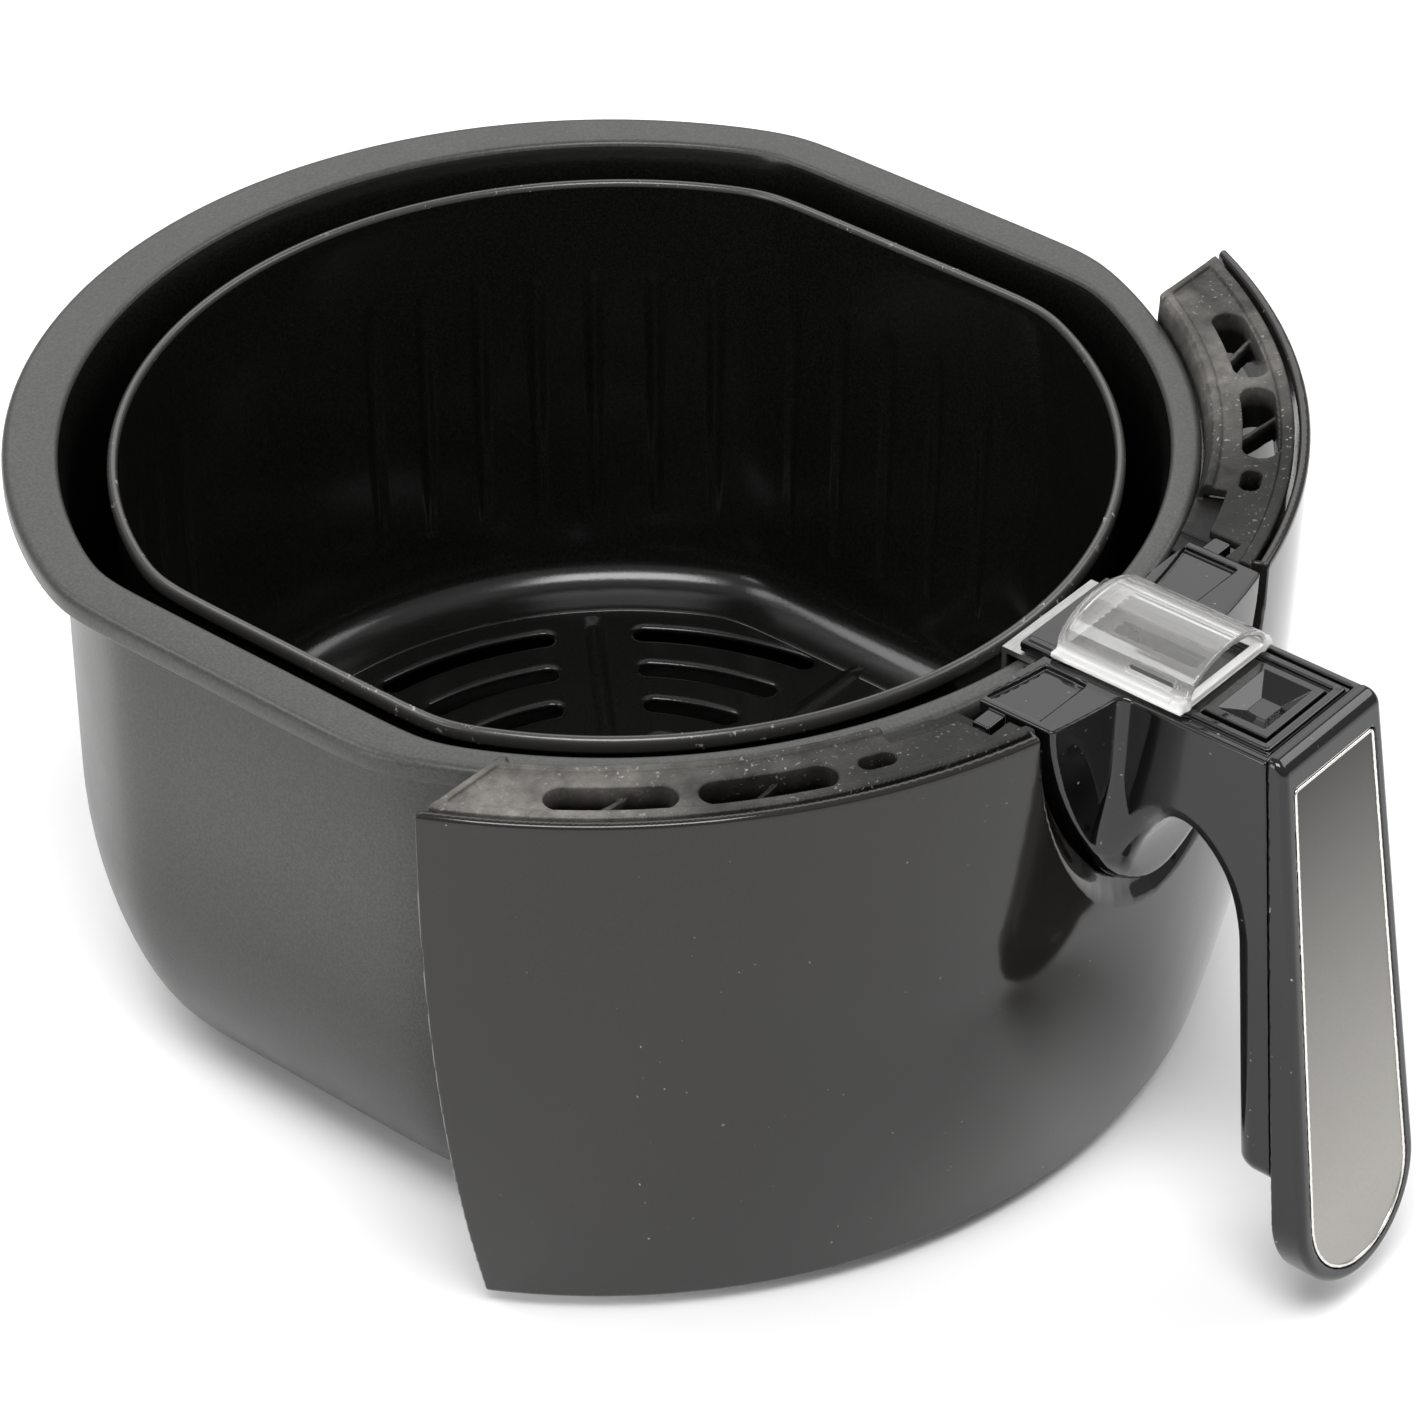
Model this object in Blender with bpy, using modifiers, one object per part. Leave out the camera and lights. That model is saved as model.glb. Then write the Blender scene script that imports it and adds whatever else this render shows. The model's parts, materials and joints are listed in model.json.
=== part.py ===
"""Air-fryer drawer: a coated pan with a glossy front panel, and a slotted basket that lifts out by a
latched handle.

Metres, +Z up. The origin is the centre of the pan's underside and the handle points along -Y.
"""

import math

import bmesh
import bpy
from mathutils import Matrix, Vector

# ---- driving dimensions ---------------------------------------------------------------------------
FLANGE_TOP = 0.131                 # height of the pan's flange above its underside
GAP = 0.0003                       # clearance between neighbouring pieces
ROUND = 72                         # points around the pan and the basket
CORNER = 0.0012                    # how softly a flat side runs into the round

FLANGE_RADIUS, FLANGE_FLAT = 0.127, 0.1203
WALL_CENTRE_Y = -0.0035            # the pan's wall stands this far forward of its flange
WALL_RADIUS, WALL_FLAT = 0.1178, 0.1108
PAN_SKIN = 0.0016
PAN_FILLET_R, PAN_FILLET_Z = 0.030, 0.054
LIP_DROP = 0.0048

BASKET_CENTRE_Y = -0.004
BASKET_RADIUS, BASKET_FLAT = 0.1068, 0.0998
BASKET_TOP = FLANGE_TOP - 0.0034
BASKET_FLOOR = FLANGE_TOP - 0.112
BASKET_SKIN = 0.0012
BASKET_DRAFT = 0.0012
BASKET_FILLET = 0.009
BEAD = 0.0013
BRACKET_FRONT_Y = -0.1173          # upright of the strip that carries the basket
SLOT_RADII = (0.081, 0.067, 0.053, 0.039)
SLOT_SECTORS = 8
SLOT_WIDTH = 0.005
SLOT_TO_SPOKE = 0.0095

PANEL_TOP = FLANGE_TOP + 0.0052
PANEL_BOTTOM = FLANGE_TOP - 0.1278
PANEL_RADIUS = 0.1495
PANEL_TUCK, PANEL_TUCK_POWER = 0.014, 2.2
PANEL_SKIN = 0.0024
PANEL_BACK_Y = -0.0667             # plane that ends the panel at both sides
PANEL_STEPS = 96

BEZEL_INNER, BEZEL_OUTER = 0.1274, 0.1453
BEZEL_DECK = FLANGE_TOP + 0.0040
BEZEL_FOOT = FLANGE_TOP - 0.010
BEZEL_WALL = 0.0018
VENT_RADIUS, VENT_WIDTH = 0.139, 0.0074
VENT_SPANS = ((54.0, 43.5), (42.0, 30.5))
DRAIN_RADIUS, DRAIN_WIDTH, DRAIN_SPAN = 0.1378, 0.0045, (29.0, 25.0)

BLOCK_HALF = 0.0355                # half-width of the handle's base block
BLOCK_SEAM = 0.0014                # gap between the block and the panel's recess
BLOCK_BACK_RADIUS = 0.1288
BLOCK_FRONT_INSET = 0.0006
BLOCK_TOP = FLANGE_TOP + 0.0050
BLOCK_BOTTOM = FLANGE_TOP - 0.0478
TAB_REACH, TAB_BACK_Y, TAB_FRONT_Y = 0.0055, -0.1294, -0.1335  # clips at both sides of the block
ARM_TOP_HALF, GRIP_HALF = 0.0167, 0.0203
GRIP_ROUND_Z = FLANGE_TOP - 0.1042
ARM_TOP = FLANGE_TOP + 0.0047
HANDLE_BOTTOM = FLANGE_TOP - 0.1245
FRONT_TOP_Y, FRONT_SLOPE = -0.1868, 0.143
INLAY_DEPTH, INLAY_BORDER = 0.0020, 0.0031

PLATE_LOW, PLATE_HIGH = FLANGE_TOP + 0.0034, FLANGE_TOP + 0.0048
PLATE_HALF = 0.0145
PLATE_BACK_Y, PLATE_FRONT_Y = -0.1212, -0.1805
BUTTON_Y = -0.170
BUTTON_HALF_X, BUTTON_HALF_Y = 0.0102, 0.0075

COVER_HALF = 0.0158
COVER_BACK_Y, COVER_FRONT_Y = -0.1285, -0.1610
COVER_BASE = FLANGE_TOP + 0.0053
COVER_RISE = 0.0090
COVER_SIDE = 0.0022
COVER_SKIN = 0.0014

PIVOT_Y, PIVOT_Z = -0.1365, FLANGE_TOP - 0.006
LEVER_HALF = 0.0025
CATCH_Y = -0.1410
SPRING_Y, SPRING_LOW, SPRING_HIGH = -0.1700, FLANGE_TOP - 0.0172, FLANGE_TOP - 0.0062
SPRING_RADIUS, SPRING_WIRE, SPRING_TURNS = 0.0030, 0.00045, 4

# ---- scene ----------------------------------------------------------------------------------------
for leftover in list(bpy.data.objects):
    bpy.data.objects.remove(leftover, do_unlink=True)


def new_collection(name):
    group = bpy.data.collections.new(name)
    bpy.context.scene.collection.children.link(group)
    return group


PARTS = new_collection("air_fryer_drawer")
CUTTERS = new_collection("cutters")
CUTTERS.hide_render = True


def new_material(name, color, roughness, metallic=0.0, alpha=1.0):
    made = bpy.data.materials.new(name)
    made.use_nodes = True
    shader = made.node_tree.nodes["Principled BSDF"]
    shader.inputs["Base Color"].default_value = (*color, 1.0)
    shader.inputs["Roughness"].default_value = roughness
    shader.inputs["Metallic"].default_value = metallic
    shader.inputs["Alpha"].default_value = alpha
    made.diffuse_color = (*color, alpha)
    return made


COATING = new_material("nonstick_coating", (0.030, 0.029, 0.028), 0.38)
BLACK_GLOSS = new_material("gloss_black_plastic", (0.012, 0.012, 0.012), 0.08)
CHARCOAL_GLOSS = new_material("charcoal_panel_plastic", (0.045, 0.043, 0.042), 0.10)
BLACK_MATTE = new_material("matte_black_plastic", (0.030, 0.030, 0.029), 0.60)
SILVER_GREY = new_material("silver_grey_inlay", (0.30, 0.30, 0.29), 0.35, 0.5)
CLEAR = new_material("clear_plastic", (0.92, 0.92, 0.90), 0.05, 0.0, 0.35)
STEEL = new_material("plain_steel", (0.62, 0.62, 0.62), 0.35, 1.0)


# ---- building blocks ------------------------------------------------------------------------------
def new_object(name, mesh, finish, group=PARTS):
    made = bpy.data.objects.new(name, mesh)
    group.objects.link(made)
    if finish:
        mesh.materials.append(finish)
    else:
        made.hide_render = True
        made.display_type = "WIRE"
    return made


def shade_round(obj):
    obj.data.shade_smooth()
    obj.data.set_sharp_from_angle(angle=math.radians(32))


def mesh_from(bm, name):
    bmesh.ops.recalc_face_normals(bm, faces=bm.faces)
    mesh = bpy.data.meshes.new(name)
    bm.to_mesh(mesh)
    bm.free()
    return mesh


def loft(name, rings, finish):
    """A closed solid through rings that all have the same number of points, capped at both ends."""
    bm = bmesh.new()
    loops = [[bm.verts.new(point) for point in ring] for ring in rings]
    for low, high in zip(loops, loops[1:]):
        for i in range(len(low)):
            j = (i + 1) % len(low)
            bm.faces.new((low[i], low[j], high[j], high[i]))
    bm.faces.new(loops[0])
    bm.faces.new(loops[-1])
    made = new_object(name, mesh_from(bm, name), finish)
    shade_round(made)
    return made


def prism(name, outline, low, high, axis="Z", finish=None):
    """A flat outline with thickness. Its points are (x, y) for axis Z, (x, z) for Y, (y, z) for X."""
    curve = bpy.data.curves.new(name, "CURVE")
    curve.dimensions = "2D"
    curve.fill_mode = "BOTH"
    curve.extrude = (high - low) / 2
    spline = curve.splines.new("POLY")
    spline.points.add(len(outline) - 1)
    for point, (u, v) in zip(spline.points, outline):
        point.co = (u, v, 0, 1)
    spline.use_cyclic_u = True
    drawn = bpy.data.objects.new(name + "_outline", curve)
    CUTTERS.objects.link(drawn)
    bpy.context.view_layer.update()
    graph = bpy.context.evaluated_depsgraph_get()
    mesh = bpy.data.meshes.new_from_object(drawn.evaluated_get(graph))
    bpy.data.objects.remove(drawn, do_unlink=True)
    middle = (low + high) / 2
    turn = {
        "Z": Matrix.Identity(4),
        "Y": Matrix(((1, 0, 0, 0), (0, 0, 1, 0), (0, 1, 0, 0), (0, 0, 0, 1))),
        "X": Matrix(((0, 0, 1, 0), (1, 0, 0, 0), (0, 1, 0, 0), (0, 0, 0, 1))),
    }[axis]
    mesh.transform(turn @ Matrix.Translation((0, 0, middle)))
    bm = bmesh.new()
    bm.from_mesh(mesh)
    bmesh.ops.remove_doubles(bm, verts=bm.verts, dist=1e-6)
    bpy.data.meshes.remove(mesh)
    solid = mesh_from(bm, name)
    solid.materials.clear()
    return new_object(name, solid, finish, PARTS if finish else CUTTERS)


def box(name, x, y, z, finish=None):
    """A box from its (low, high) pair along each axis."""
    bm = bmesh.new()
    bmesh.ops.create_cube(bm, size=1)
    size = [high - low for low, high in (x, y, z)]
    centre = [(high + low) / 2 for low, high in (x, y, z)]
    bmesh.ops.transform(bm, verts=bm.verts, matrix=Matrix.Translation(centre) @ Matrix.Diagonal((*size, 1)))
    return new_object(name, mesh_from(bm, name), finish, PARTS if finish else CUTTERS)


def rod(name, start, end, radius, sides=16, finish=None):
    """A cylinder between two points."""
    start, end = Vector(start), Vector(end)
    bm = bmesh.new()
    bmesh.ops.create_cone(bm, cap_ends=True, segments=sides, radius1=radius, radius2=radius,
                          depth=(end - start).length)
    turn = (end - start).to_track_quat("Z", "Y").to_matrix().to_4x4()
    bmesh.ops.transform(bm, verts=bm.verts, matrix=Matrix.Translation((start + end) / 2) @ turn)
    return new_object(name, mesh_from(bm, name), finish, PARTS if finish else CUTTERS)


def turned(name, profile, steps, finish=None):
    """A closed profile of (radius, z) turned once around Z. It runs down its outer side first."""
    mesh = bpy.data.meshes.new(name)
    points = [(radius, 0, z) for radius, z in profile]
    mesh.from_pydata(points, [(i, (i + 1) % len(points)) for i in range(len(points))], [])
    made = new_object(name, mesh, finish, PARTS if finish else CUTTERS)
    turn = made.modifiers.new("turn", "SCREW")
    turn.steps = turn.render_steps = steps
    turn.use_merge_vertices = True
    turn.merge_threshold = 1e-5
    return made


def boolean(obj, other, operation="DIFFERENCE"):
    step = obj.modifiers.new(other.name, "BOOLEAN")
    step.object = other
    step.operation = operation
    return obj


def screw(name, seat, direction, head_radius, head_height, shank_radius, shank_length, finish=STEEL):
    """A pan-head screw or rivet: its head stands on seat and its shank runs along direction."""
    profile = [(0, head_height), (head_radius * 0.75, head_height), (head_radius, head_height * 0.5),
               (head_radius, 0), (shank_radius, 0), (shank_radius, -shank_length), (0, -shank_length)]
    mesh = bpy.data.meshes.new(name)
    mesh.from_pydata([(r, 0, z) for r, z in profile], [(i, i + 1) for i in range(len(profile) - 1)], [])
    made = new_object(name, mesh, finish)
    made.location = seat
    made.rotation_euler = (-Vector(direction)).to_track_quat("Z", "Y").to_euler()
    turn = made.modifiers.new("turn", "SCREW")
    turn.steps = turn.render_steps = 12
    turn.use_merge_vertices = True
    turn.merge_threshold = 1e-5
    shade_round(made)
    return made


# ---- outlines -------------------------------------------------------------------------------------
def cut_circle(radius, flat, centre_y, z):
    """A circle whose two sides are cut flat at x = +-flat, with softened corners, as a ring of points."""
    ring = []
    for i in range(ROUND):
        angle = 2 * math.pi * i / ROUND
        to_flat = flat / max(abs(math.cos(angle)), 1e-6)
        low = min(radius, to_flat)
        reach = low - CORNER * math.log(sum(math.exp((low - r) / CORNER) for r in (radius, to_flat)))
        ring.append((reach * math.cos(angle), centre_y + reach * math.sin(angle), z))
    return ring


def arc(centre, radius, start, end, steps):
    """Points on an arc, with its angles in degrees."""
    angles = [math.radians(start + (end - start) * i / steps) for i in range(steps + 1)]
    return [(centre[0] + radius * math.cos(a), centre[1] + radius * math.sin(a)) for a in angles]


def smooth(points, steps=4):
    """A Catmull-Rom curve through the points."""
    ends = [points[0], *points, points[-1]]
    out = [points[0]]
    for a, b, c, d in zip(ends, ends[1:], ends[2:], ends[3:]):
        for i in range(1, steps + 1):
            t = i / steps
            out.append(tuple(
                0.5 * (2 * q + (r - p) * t + (2 * p - 5 * q + 4 * r - s) * t**2
                       + (3 * q - p - 3 * r + s) * t**3)
                for p, q, r, s in zip(a, b, c, d)))
    return out


def arc_slot(radius, width, start, end, centre_y=0.0, steps=6):
    """An arched slot with round ends. Angles are in degrees from -Y towards +X."""
    a, b = sorted((start - 90, end - 90))
    centre = (0, centre_y)
    first, last = arc(centre, radius, a, a, 1)[0], arc(centre, radius, b, b, 1)[0]
    return (arc(centre, radius + width / 2, a, b, steps) + arc(last, width / 2, b, b + 180, 4)[1:-1]
            + arc(centre, radius - width / 2, b, a, steps) + arc(first, width / 2, a + 180, a + 360, 4)[1:-1])


def mirrored(half):
    """Closes an outline from its +X half, which runs from the plane of symmetry to the plane again."""
    return half + [(-x, z) for x, z in reversed(half) if abs(x) > 1e-9]


# ---- pan ------------------------------------------------------------------------------------------
def wall_rings(radius, flat, centre_y, fillet_r, fillet_z, floor, steps):
    """Rings from a floor's edge up its fillet to the wall."""
    rings = []
    for i in range(steps + 1):
        angle = math.radians(90 * (1 - i / steps))
        inset = fillet_r * (1 - math.cos(angle))
        rings.append(cut_circle(radius - inset, flat - inset, centre_y,
                                floor + fillet_z * (1 - math.sin(angle))))
    return rings


def build_pan():
    skin, top = PAN_SKIN, FLANGE_TOP
    outside = wall_rings(WALL_RADIUS, WALL_FLAT, WALL_CENTRE_Y, PAN_FILLET_R, PAN_FILLET_Z, 0, 6)
    under = [
        cut_circle(WALL_RADIUS, WALL_FLAT, WALL_CENTRE_Y, top - 0.006),
        cut_circle(WALL_RADIUS + 0.0016, WALL_FLAT + 0.003, WALL_CENTRE_Y, top - 0.0024),
        cut_circle(FLANGE_RADIUS - skin, FLANGE_FLAT - skin, 0, top - 0.002),
        cut_circle(FLANGE_RADIUS - skin, FLANGE_FLAT - skin, 0, top - LIP_DROP),
        cut_circle(FLANGE_RADIUS, FLANGE_FLAT, 0, top - LIP_DROP),
        cut_circle(FLANGE_RADIUS, FLANGE_FLAT, 0, top - 0.0008),
        cut_circle(FLANGE_RADIUS - 0.0008, FLANGE_FLAT - 0.0008, 0, top),
    ]
    mouth = [
        cut_circle(WALL_RADIUS + 0.0004, WALL_FLAT - 0.0012, WALL_CENTRE_Y, top),
        cut_circle(WALL_RADIUS - 0.0008, WALL_FLAT - 0.0017, WALL_CENTRE_Y, top - 0.0012),
    ]
    inside = wall_rings(WALL_RADIUS - skin, WALL_FLAT - skin, WALL_CENTRE_Y,
                        PAN_FILLET_R - skin, PAN_FILLET_Z - skin, skin, 6)
    inside.append(cut_circle(WALL_RADIUS - skin, WALL_FLAT - skin - 0.0004, WALL_CENTRE_Y, top - 0.004))
    return loft("pan", outside + under + mouth + inside[::-1], COATING)


# ---- basket ---------------------------------------------------------------------------------------
def build_basket():
    skin, drop = BASKET_SKIN, BASKET_DRAFT
    out_r, out_flat, y = BASKET_RADIUS, BASKET_FLAT, BASKET_CENTRE_Y
    outside = wall_rings(out_r - drop, out_flat - drop, y, BASKET_FILLET, BASKET_FILLET,
                         BASKET_FLOOR - skin, 3)
    bead = [
        cut_circle(out_r, out_flat, y, BASKET_TOP - 2 * BEAD),
        cut_circle(out_r + 0.7 * BEAD, out_flat + 0.7 * BEAD, y, BASKET_TOP - 1.9 * BEAD),
        cut_circle(out_r + BEAD, out_flat + BEAD, y, BASKET_TOP - BEAD),
        cut_circle(out_r + 0.7 * BEAD, out_flat + 0.7 * BEAD, y, BASKET_TOP - 0.2 * BEAD),
        cut_circle(out_r - skin / 2, out_flat - skin / 2, y, BASKET_TOP),
        cut_circle(out_r - skin, out_flat - skin, y, BASKET_TOP - BEAD),
    ]
    inside = wall_rings(out_r - drop - skin, out_flat - drop - skin, y, BASKET_FILLET - skin,
                        BASKET_FILLET - skin, BASKET_FLOOR, 3)
    basket = loft("basket", outside + bead + inside[::-1], COATING)
    step = 360 / SLOT_SECTORS
    for radius in SLOT_RADII:
        margin = math.degrees(math.asin((SLOT_TO_SPOKE + SLOT_WIDTH / 2) / radius))
        for sector in range(SLOT_SECTORS):
            outline = arc_slot(radius, SLOT_WIDTH, sector * step + margin, (sector + 1) * step - margin, y)
            cutter = prism(f"cut_floor_slot_{radius * 1000:.0f}_{sector}", outline,
                           BASKET_FLOOR - 0.004, BASKET_FLOOR + 0.003)
            boolean(basket, cutter)
    return basket


def build_basket_bracket():
    """A bent strip of sheet steel from the basket's front wall, over the flange, to the handle's block."""
    wall_y = BASKET_CENTRE_Y - BASKET_RADIUS - GAP - 0.0003
    path = [(wall_y, BASKET_TOP - 0.040), (wall_y, BASKET_TOP - 0.013), (BRACKET_FRONT_Y, BASKET_TOP - 0.008),
            (BRACKET_FRONT_Y, FLANGE_TOP + 0.0020), (-0.1345, FLANGE_TOP + 0.0020)]
    half = 0.015
    bm = bmesh.new()
    rows = [[bm.verts.new((side * half, y, z)) for y, z in path] for side in (-1, 1)]
    for i in range(len(path) - 1):
        bm.faces.new((rows[0][i], rows[1][i], rows[1][i + 1], rows[0][i + 1]))
    mesh = mesh_from(bm, "basket_bracket")
    bracket = new_object("basket_bracket", mesh, STEEL)
    sheet = bracket.modifiers.new("sheet", "SOLIDIFY")
    sheet.thickness = 0.0012
    sheet.offset = 1 if mesh.polygons[0].normal.y < 0 else -1
    sheet.use_even_offset = True
    for side, word in ((-1, "left"), (1, "right")):
        hole = rod(f"cut_bracket_{word}", (side * 0.0105, -0.1318, FLANGE_TOP),
                   (side * 0.0105, -0.1318, FLANGE_TOP + 0.004), 0.0014, 12)
        boolean(bracket, hole)
        screw(f"bracket_screw_{word}", (side * 0.0105, -0.1318, FLANGE_TOP + 0.0020 + 0.0001),
              (0, 0, -1), 0.0022, 0.0009, 0.0011, 0.008)
        screw(f"bracket_rivet_{word}", (side * 0.009, wall_y - 0.0012 - GAP, BASKET_TOP - 0.028),
              (0, 1, 0), 0.0025, 0.0010, 0.0012, 0.0002)
    return bracket


# ---- front panel and bezels -----------------------------------------------------------------------
def panel_radius(z):
    """The panel's outer radius: upright at the top and tucked in more and more towards the bottom."""
    down = max(0.0, (FLANGE_TOP - z) / (FLANGE_TOP - PANEL_BOTTOM))
    return PANEL_RADIUS - PANEL_TUCK * down**PANEL_TUCK_POWER


def panel_profile(skin, outset=0.0):
    """The panel's section as (radius, z), outer side first."""
    heights = [PANEL_TOP - 0.004 + (PANEL_BOTTOM - PANEL_TOP + 0.004) * i / 8 for i in range(9)]
    outer = [(panel_radius(z) + outset, z) for z in heights]
    crown = [(PANEL_RADIUS - 0.0016 + outset, PANEL_TOP),
             (PANEL_RADIUS - 0.0004 + outset, PANEL_TOP - 0.0012)]
    inner = [(panel_radius(z) - skin, z) for z in reversed(heights)]
    return crown + outer + inner + [(PANEL_RADIUS - skin - 0.0006, PANEL_TOP)]


def shield(margin, top):
    """The block's front outline, grown by margin: sides that draw in more and more towards a round tip."""
    half, depth = BLOCK_HALF + margin, BLOCK_TOP - BLOCK_BOTTOM + margin
    curve = [(half * math.cos(a) ** 1.24, BLOCK_TOP - depth * math.sin(a) ** 1.25)
             for a in (math.radians(90 * i / 12) for i in range(12))]
    return mirrored([(half, top), *curve, (0, BLOCK_TOP - depth)])


def build_front_panel():
    panel = turned("front_panel", panel_profile(PANEL_SKIN), PANEL_STEPS, CHARCOAL_GLOSS)
    for x, angle, z in boss_places():
        direction = Vector((math.sin(angle), -math.cos(angle), 0))
        start = direction * (FOOT_RADIUS + 0.0018)
        end = direction * (panel_radius(z) - PANEL_SKIN / 2)
        start.z = end.z = z
        boolean(panel, rod(f"boss_{x}", start, end, 0.0038, 14), "UNION")
        deep = direction * (FOOT_RADIUS + PANEL_SCREW_DEPTH)
        deep.z = z
        boolean(panel, rod(f"cut_boss_{x}", start - direction * 0.002, deep, 0.0013, 10))
    for x, z in (("upper", CATCH_SCREWS[0]), ("lower", CATCH_SCREWS[1])):
        boolean(panel, rod(f"boss_catch_{x}", (0, CATCH_Y - 0.0006 - GAP, z),
                           (0, -panel_radius(z) + PANEL_SKIN / 2, z), 0.0036, 14), "UNION")
    boolean(panel, box("keep_panel_front", (-0.2, 0.2), (-0.2, PANEL_BACK_Y), (-0.01, 0.2)), "INTERSECT")
    recess = prism("cut_panel_recess", shield(BLOCK_SEAM, PANEL_TOP + 0.01), -0.16, -0.12, "Y")
    boolean(panel, recess)
    for x, z in (("upper", CATCH_SCREWS[0]), ("lower", CATCH_SCREWS[1])):
        boolean(panel, rod(f"cut_boss_catch_{x}", (0, CATCH_Y, z), (0, CATCH_Y - CATCH_SCREW_DEPTH, z),
                           0.0012, 10))
    shade_round(panel)
    return panel


def build_bezels():
    wall, deck = BEZEL_WALL, BEZEL_DECK
    rim = FLANGE_TOP + 0.0050
    profile = [(BEZEL_OUTER, deck), (BEZEL_OUTER, BEZEL_FOOT), (BEZEL_OUTER - wall, BEZEL_FOOT),
               (BEZEL_OUTER - wall, deck - wall), (BEZEL_INNER + wall, deck - wall),
               (BEZEL_INNER + wall, BEZEL_FOOT), (BEZEL_INNER, BEZEL_FOOT), (BEZEL_INNER, rim - 0.0005),
               (BEZEL_INNER + 0.0005, rim), (BEZEL_INNER + 0.0017, rim), (BEZEL_INNER + 0.0024, deck)]
    for side, word in ((-1, "left"), (1, "right")):
        bezel = turned(f"bezel_{word}", profile, PANEL_STEPS, BLACK_MATTE)
        inner_x, outer_x = side * (BLOCK_HALF + 0.0008), side * 0.2
        keep = box(f"keep_bezel_{word}", tuple(sorted((inner_x, outer_x))), (-0.2, PANEL_BACK_Y - 0.0002),
                   (0, 0.2))
        boolean(bezel, keep, "INTERSECT")
        pocket_x = tuple(sorted((side * 0.030, side * (BLOCK_HALF + TAB_REACH + 0.0010))))
        pocket = box(f"cut_bezel_pocket_{word}", pocket_x, (TAB_FRONT_Y - 0.0010, -0.11),
                     (FLANGE_TOP + 0.0002, 0.2))
        boolean(bezel, pocket)
        openings = [(VENT_RADIUS, VENT_WIDTH, span) for span in VENT_SPANS]
        openings.append((DRAIN_RADIUS, DRAIN_WIDTH, DRAIN_SPAN))
        for i, (radius, width, (far, near)) in enumerate(openings):
            outline = arc_slot(radius, width, side * (far - 1.6), side * (near + 1.6))
            boolean(bezel, prism(f"cut_bezel_{word}_{i}", outline, deck - 0.005, deck + 0.005))
        shade_round(bezel)


# ---- brackets that carry the panel ----------------------------------------------------------------
FOOT_RADIUS = 0.1420
PANEL_SCREW_DEPTH, CATCH_SCREW_DEPTH = 0.0034, 0.0024
BRACKET_ANGLE = math.radians(38)
BRACKET_LOW, BRACKET_HIGH = FLANGE_TOP - 0.066, FLANGE_TOP - 0.034
CATCH_SCREWS = (FLANGE_TOP - 0.060, FLANGE_TOP - 0.075)


def boss_places():
    """Name, angle from -Y and height of each panel boss."""
    spread = math.radians(4.0)
    return [(f"{word}_{level}", side * (BRACKET_ANGLE + spread), z)
            for side, word in ((-1, "left"), (1, "right"))
            for level, z in (("upper", BRACKET_HIGH - 0.008), ("lower", BRACKET_LOW + 0.008))]


def build_panel_brackets():
    """Bent sheet brackets, welded to the pan's wall, with a foot that the panel is screwed to."""
    for side, word in ((-1, "left"), (1, "right")):
        def on_arc(radius, degrees, centre_y=0.0):
            a = side * (BRACKET_ANGLE + math.radians(degrees))
            return (radius * math.sin(a), centre_y - radius * math.cos(a))
        wall_foot = WALL_RADIUS + GAP + 0.0014
        path = [on_arc(wall_foot, -9, WALL_CENTRE_Y), on_arc(wall_foot, -5, WALL_CENTRE_Y),
                on_arc(wall_foot, 0, WALL_CENTRE_Y), on_arc(FOOT_RADIUS, 0.5), on_arc(FOOT_RADIUS, 4),
                on_arc(FOOT_RADIUS, 8)]
        bm = bmesh.new()
        rows = [[bm.verts.new((x, y, z)) for x, y in path] for z in (BRACKET_LOW, BRACKET_HIGH)]
        for i in range(len(path) - 1):
            bm.faces.new((rows[0][i], rows[0][i + 1], rows[1][i + 1], rows[1][i]))
        bracket = new_object(f"panel_bracket_{word}", mesh_from(bm, f"panel_bracket_{word}"), STEEL)
        sheet = bracket.modifiers.new("sheet", "SOLIDIFY")
        sheet.thickness = 0.0012
        sheet.offset = 0
        sheet.use_even_offset = True
    for name, angle, z in boss_places():
        direction = Vector((math.sin(angle), -math.cos(angle), 0))
        seat = direction * (FOOT_RADIUS - 0.0006 - 0.0001)
        seat.z = z
        word = name.split("_")[0]
        hole = rod(f"cut_panel_bracket_{name}", seat - direction * 0.002, seat + direction * 0.004,
                   0.0014, 12)
        boolean(bpy.data.objects[f"panel_bracket_{word}"], hole)
        screw(f"panel_screw_{name}", seat, direction, 0.0026, 0.0014, 0.0011, PANEL_SCREW_DEPTH)


# ---- handle ---------------------------------------------------------------------------------------
def handle_front(z):
    """How far forward the handle's front face lies at a height."""
    return FRONT_TOP_Y - FRONT_SLOPE * (FLANGE_TOP - z)


def handle_outline(border):
    """The handle seen from the front, drawn in by border: a long taper that ends in a round."""
    round_r = GRIP_HALF - border
    end = arc((0, GRIP_ROUND_Z), round_r, 0, -90, 8)
    return mirrored([(0, ARM_TOP + 0.003 - border), (ARM_TOP_HALF - border, ARM_TOP + 0.003 - border), *end])


PARTING = smooth([(-0.1813, FLANGE_TOP + 0.0090), (-0.1828, FLANGE_TOP - 0.003),
                  (-0.1875, FLANGE_TOP - 0.048), (-0.1920, FLANGE_TOP - 0.090),
                  (-0.1962, FLANGE_TOP - 0.1260)], 3)
UNDERSIDE = smooth([(-0.1490, FLANGE_TOP - 0.036), (-0.1513, FLANGE_TOP - 0.031),
                    (-0.1550, FLANGE_TOP - 0.0245), (-0.1605, FLANGE_TOP - 0.0198),
                    (-0.1670, FLANGE_TOP - 0.0215),
                    (-0.1732, FLANGE_TOP - 0.0278), (-0.1768, FLANGE_TOP - 0.037),
                    (-0.1785, FLANGE_TOP - 0.050), (-0.1830, FLANGE_TOP - 0.094),
                    (-0.1852, FLANGE_TOP - 0.1090), (-0.1882, FLANGE_TOP - 0.1190),
                    (-0.1925, FLANGE_TOP - 0.1255)], 3)


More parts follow.
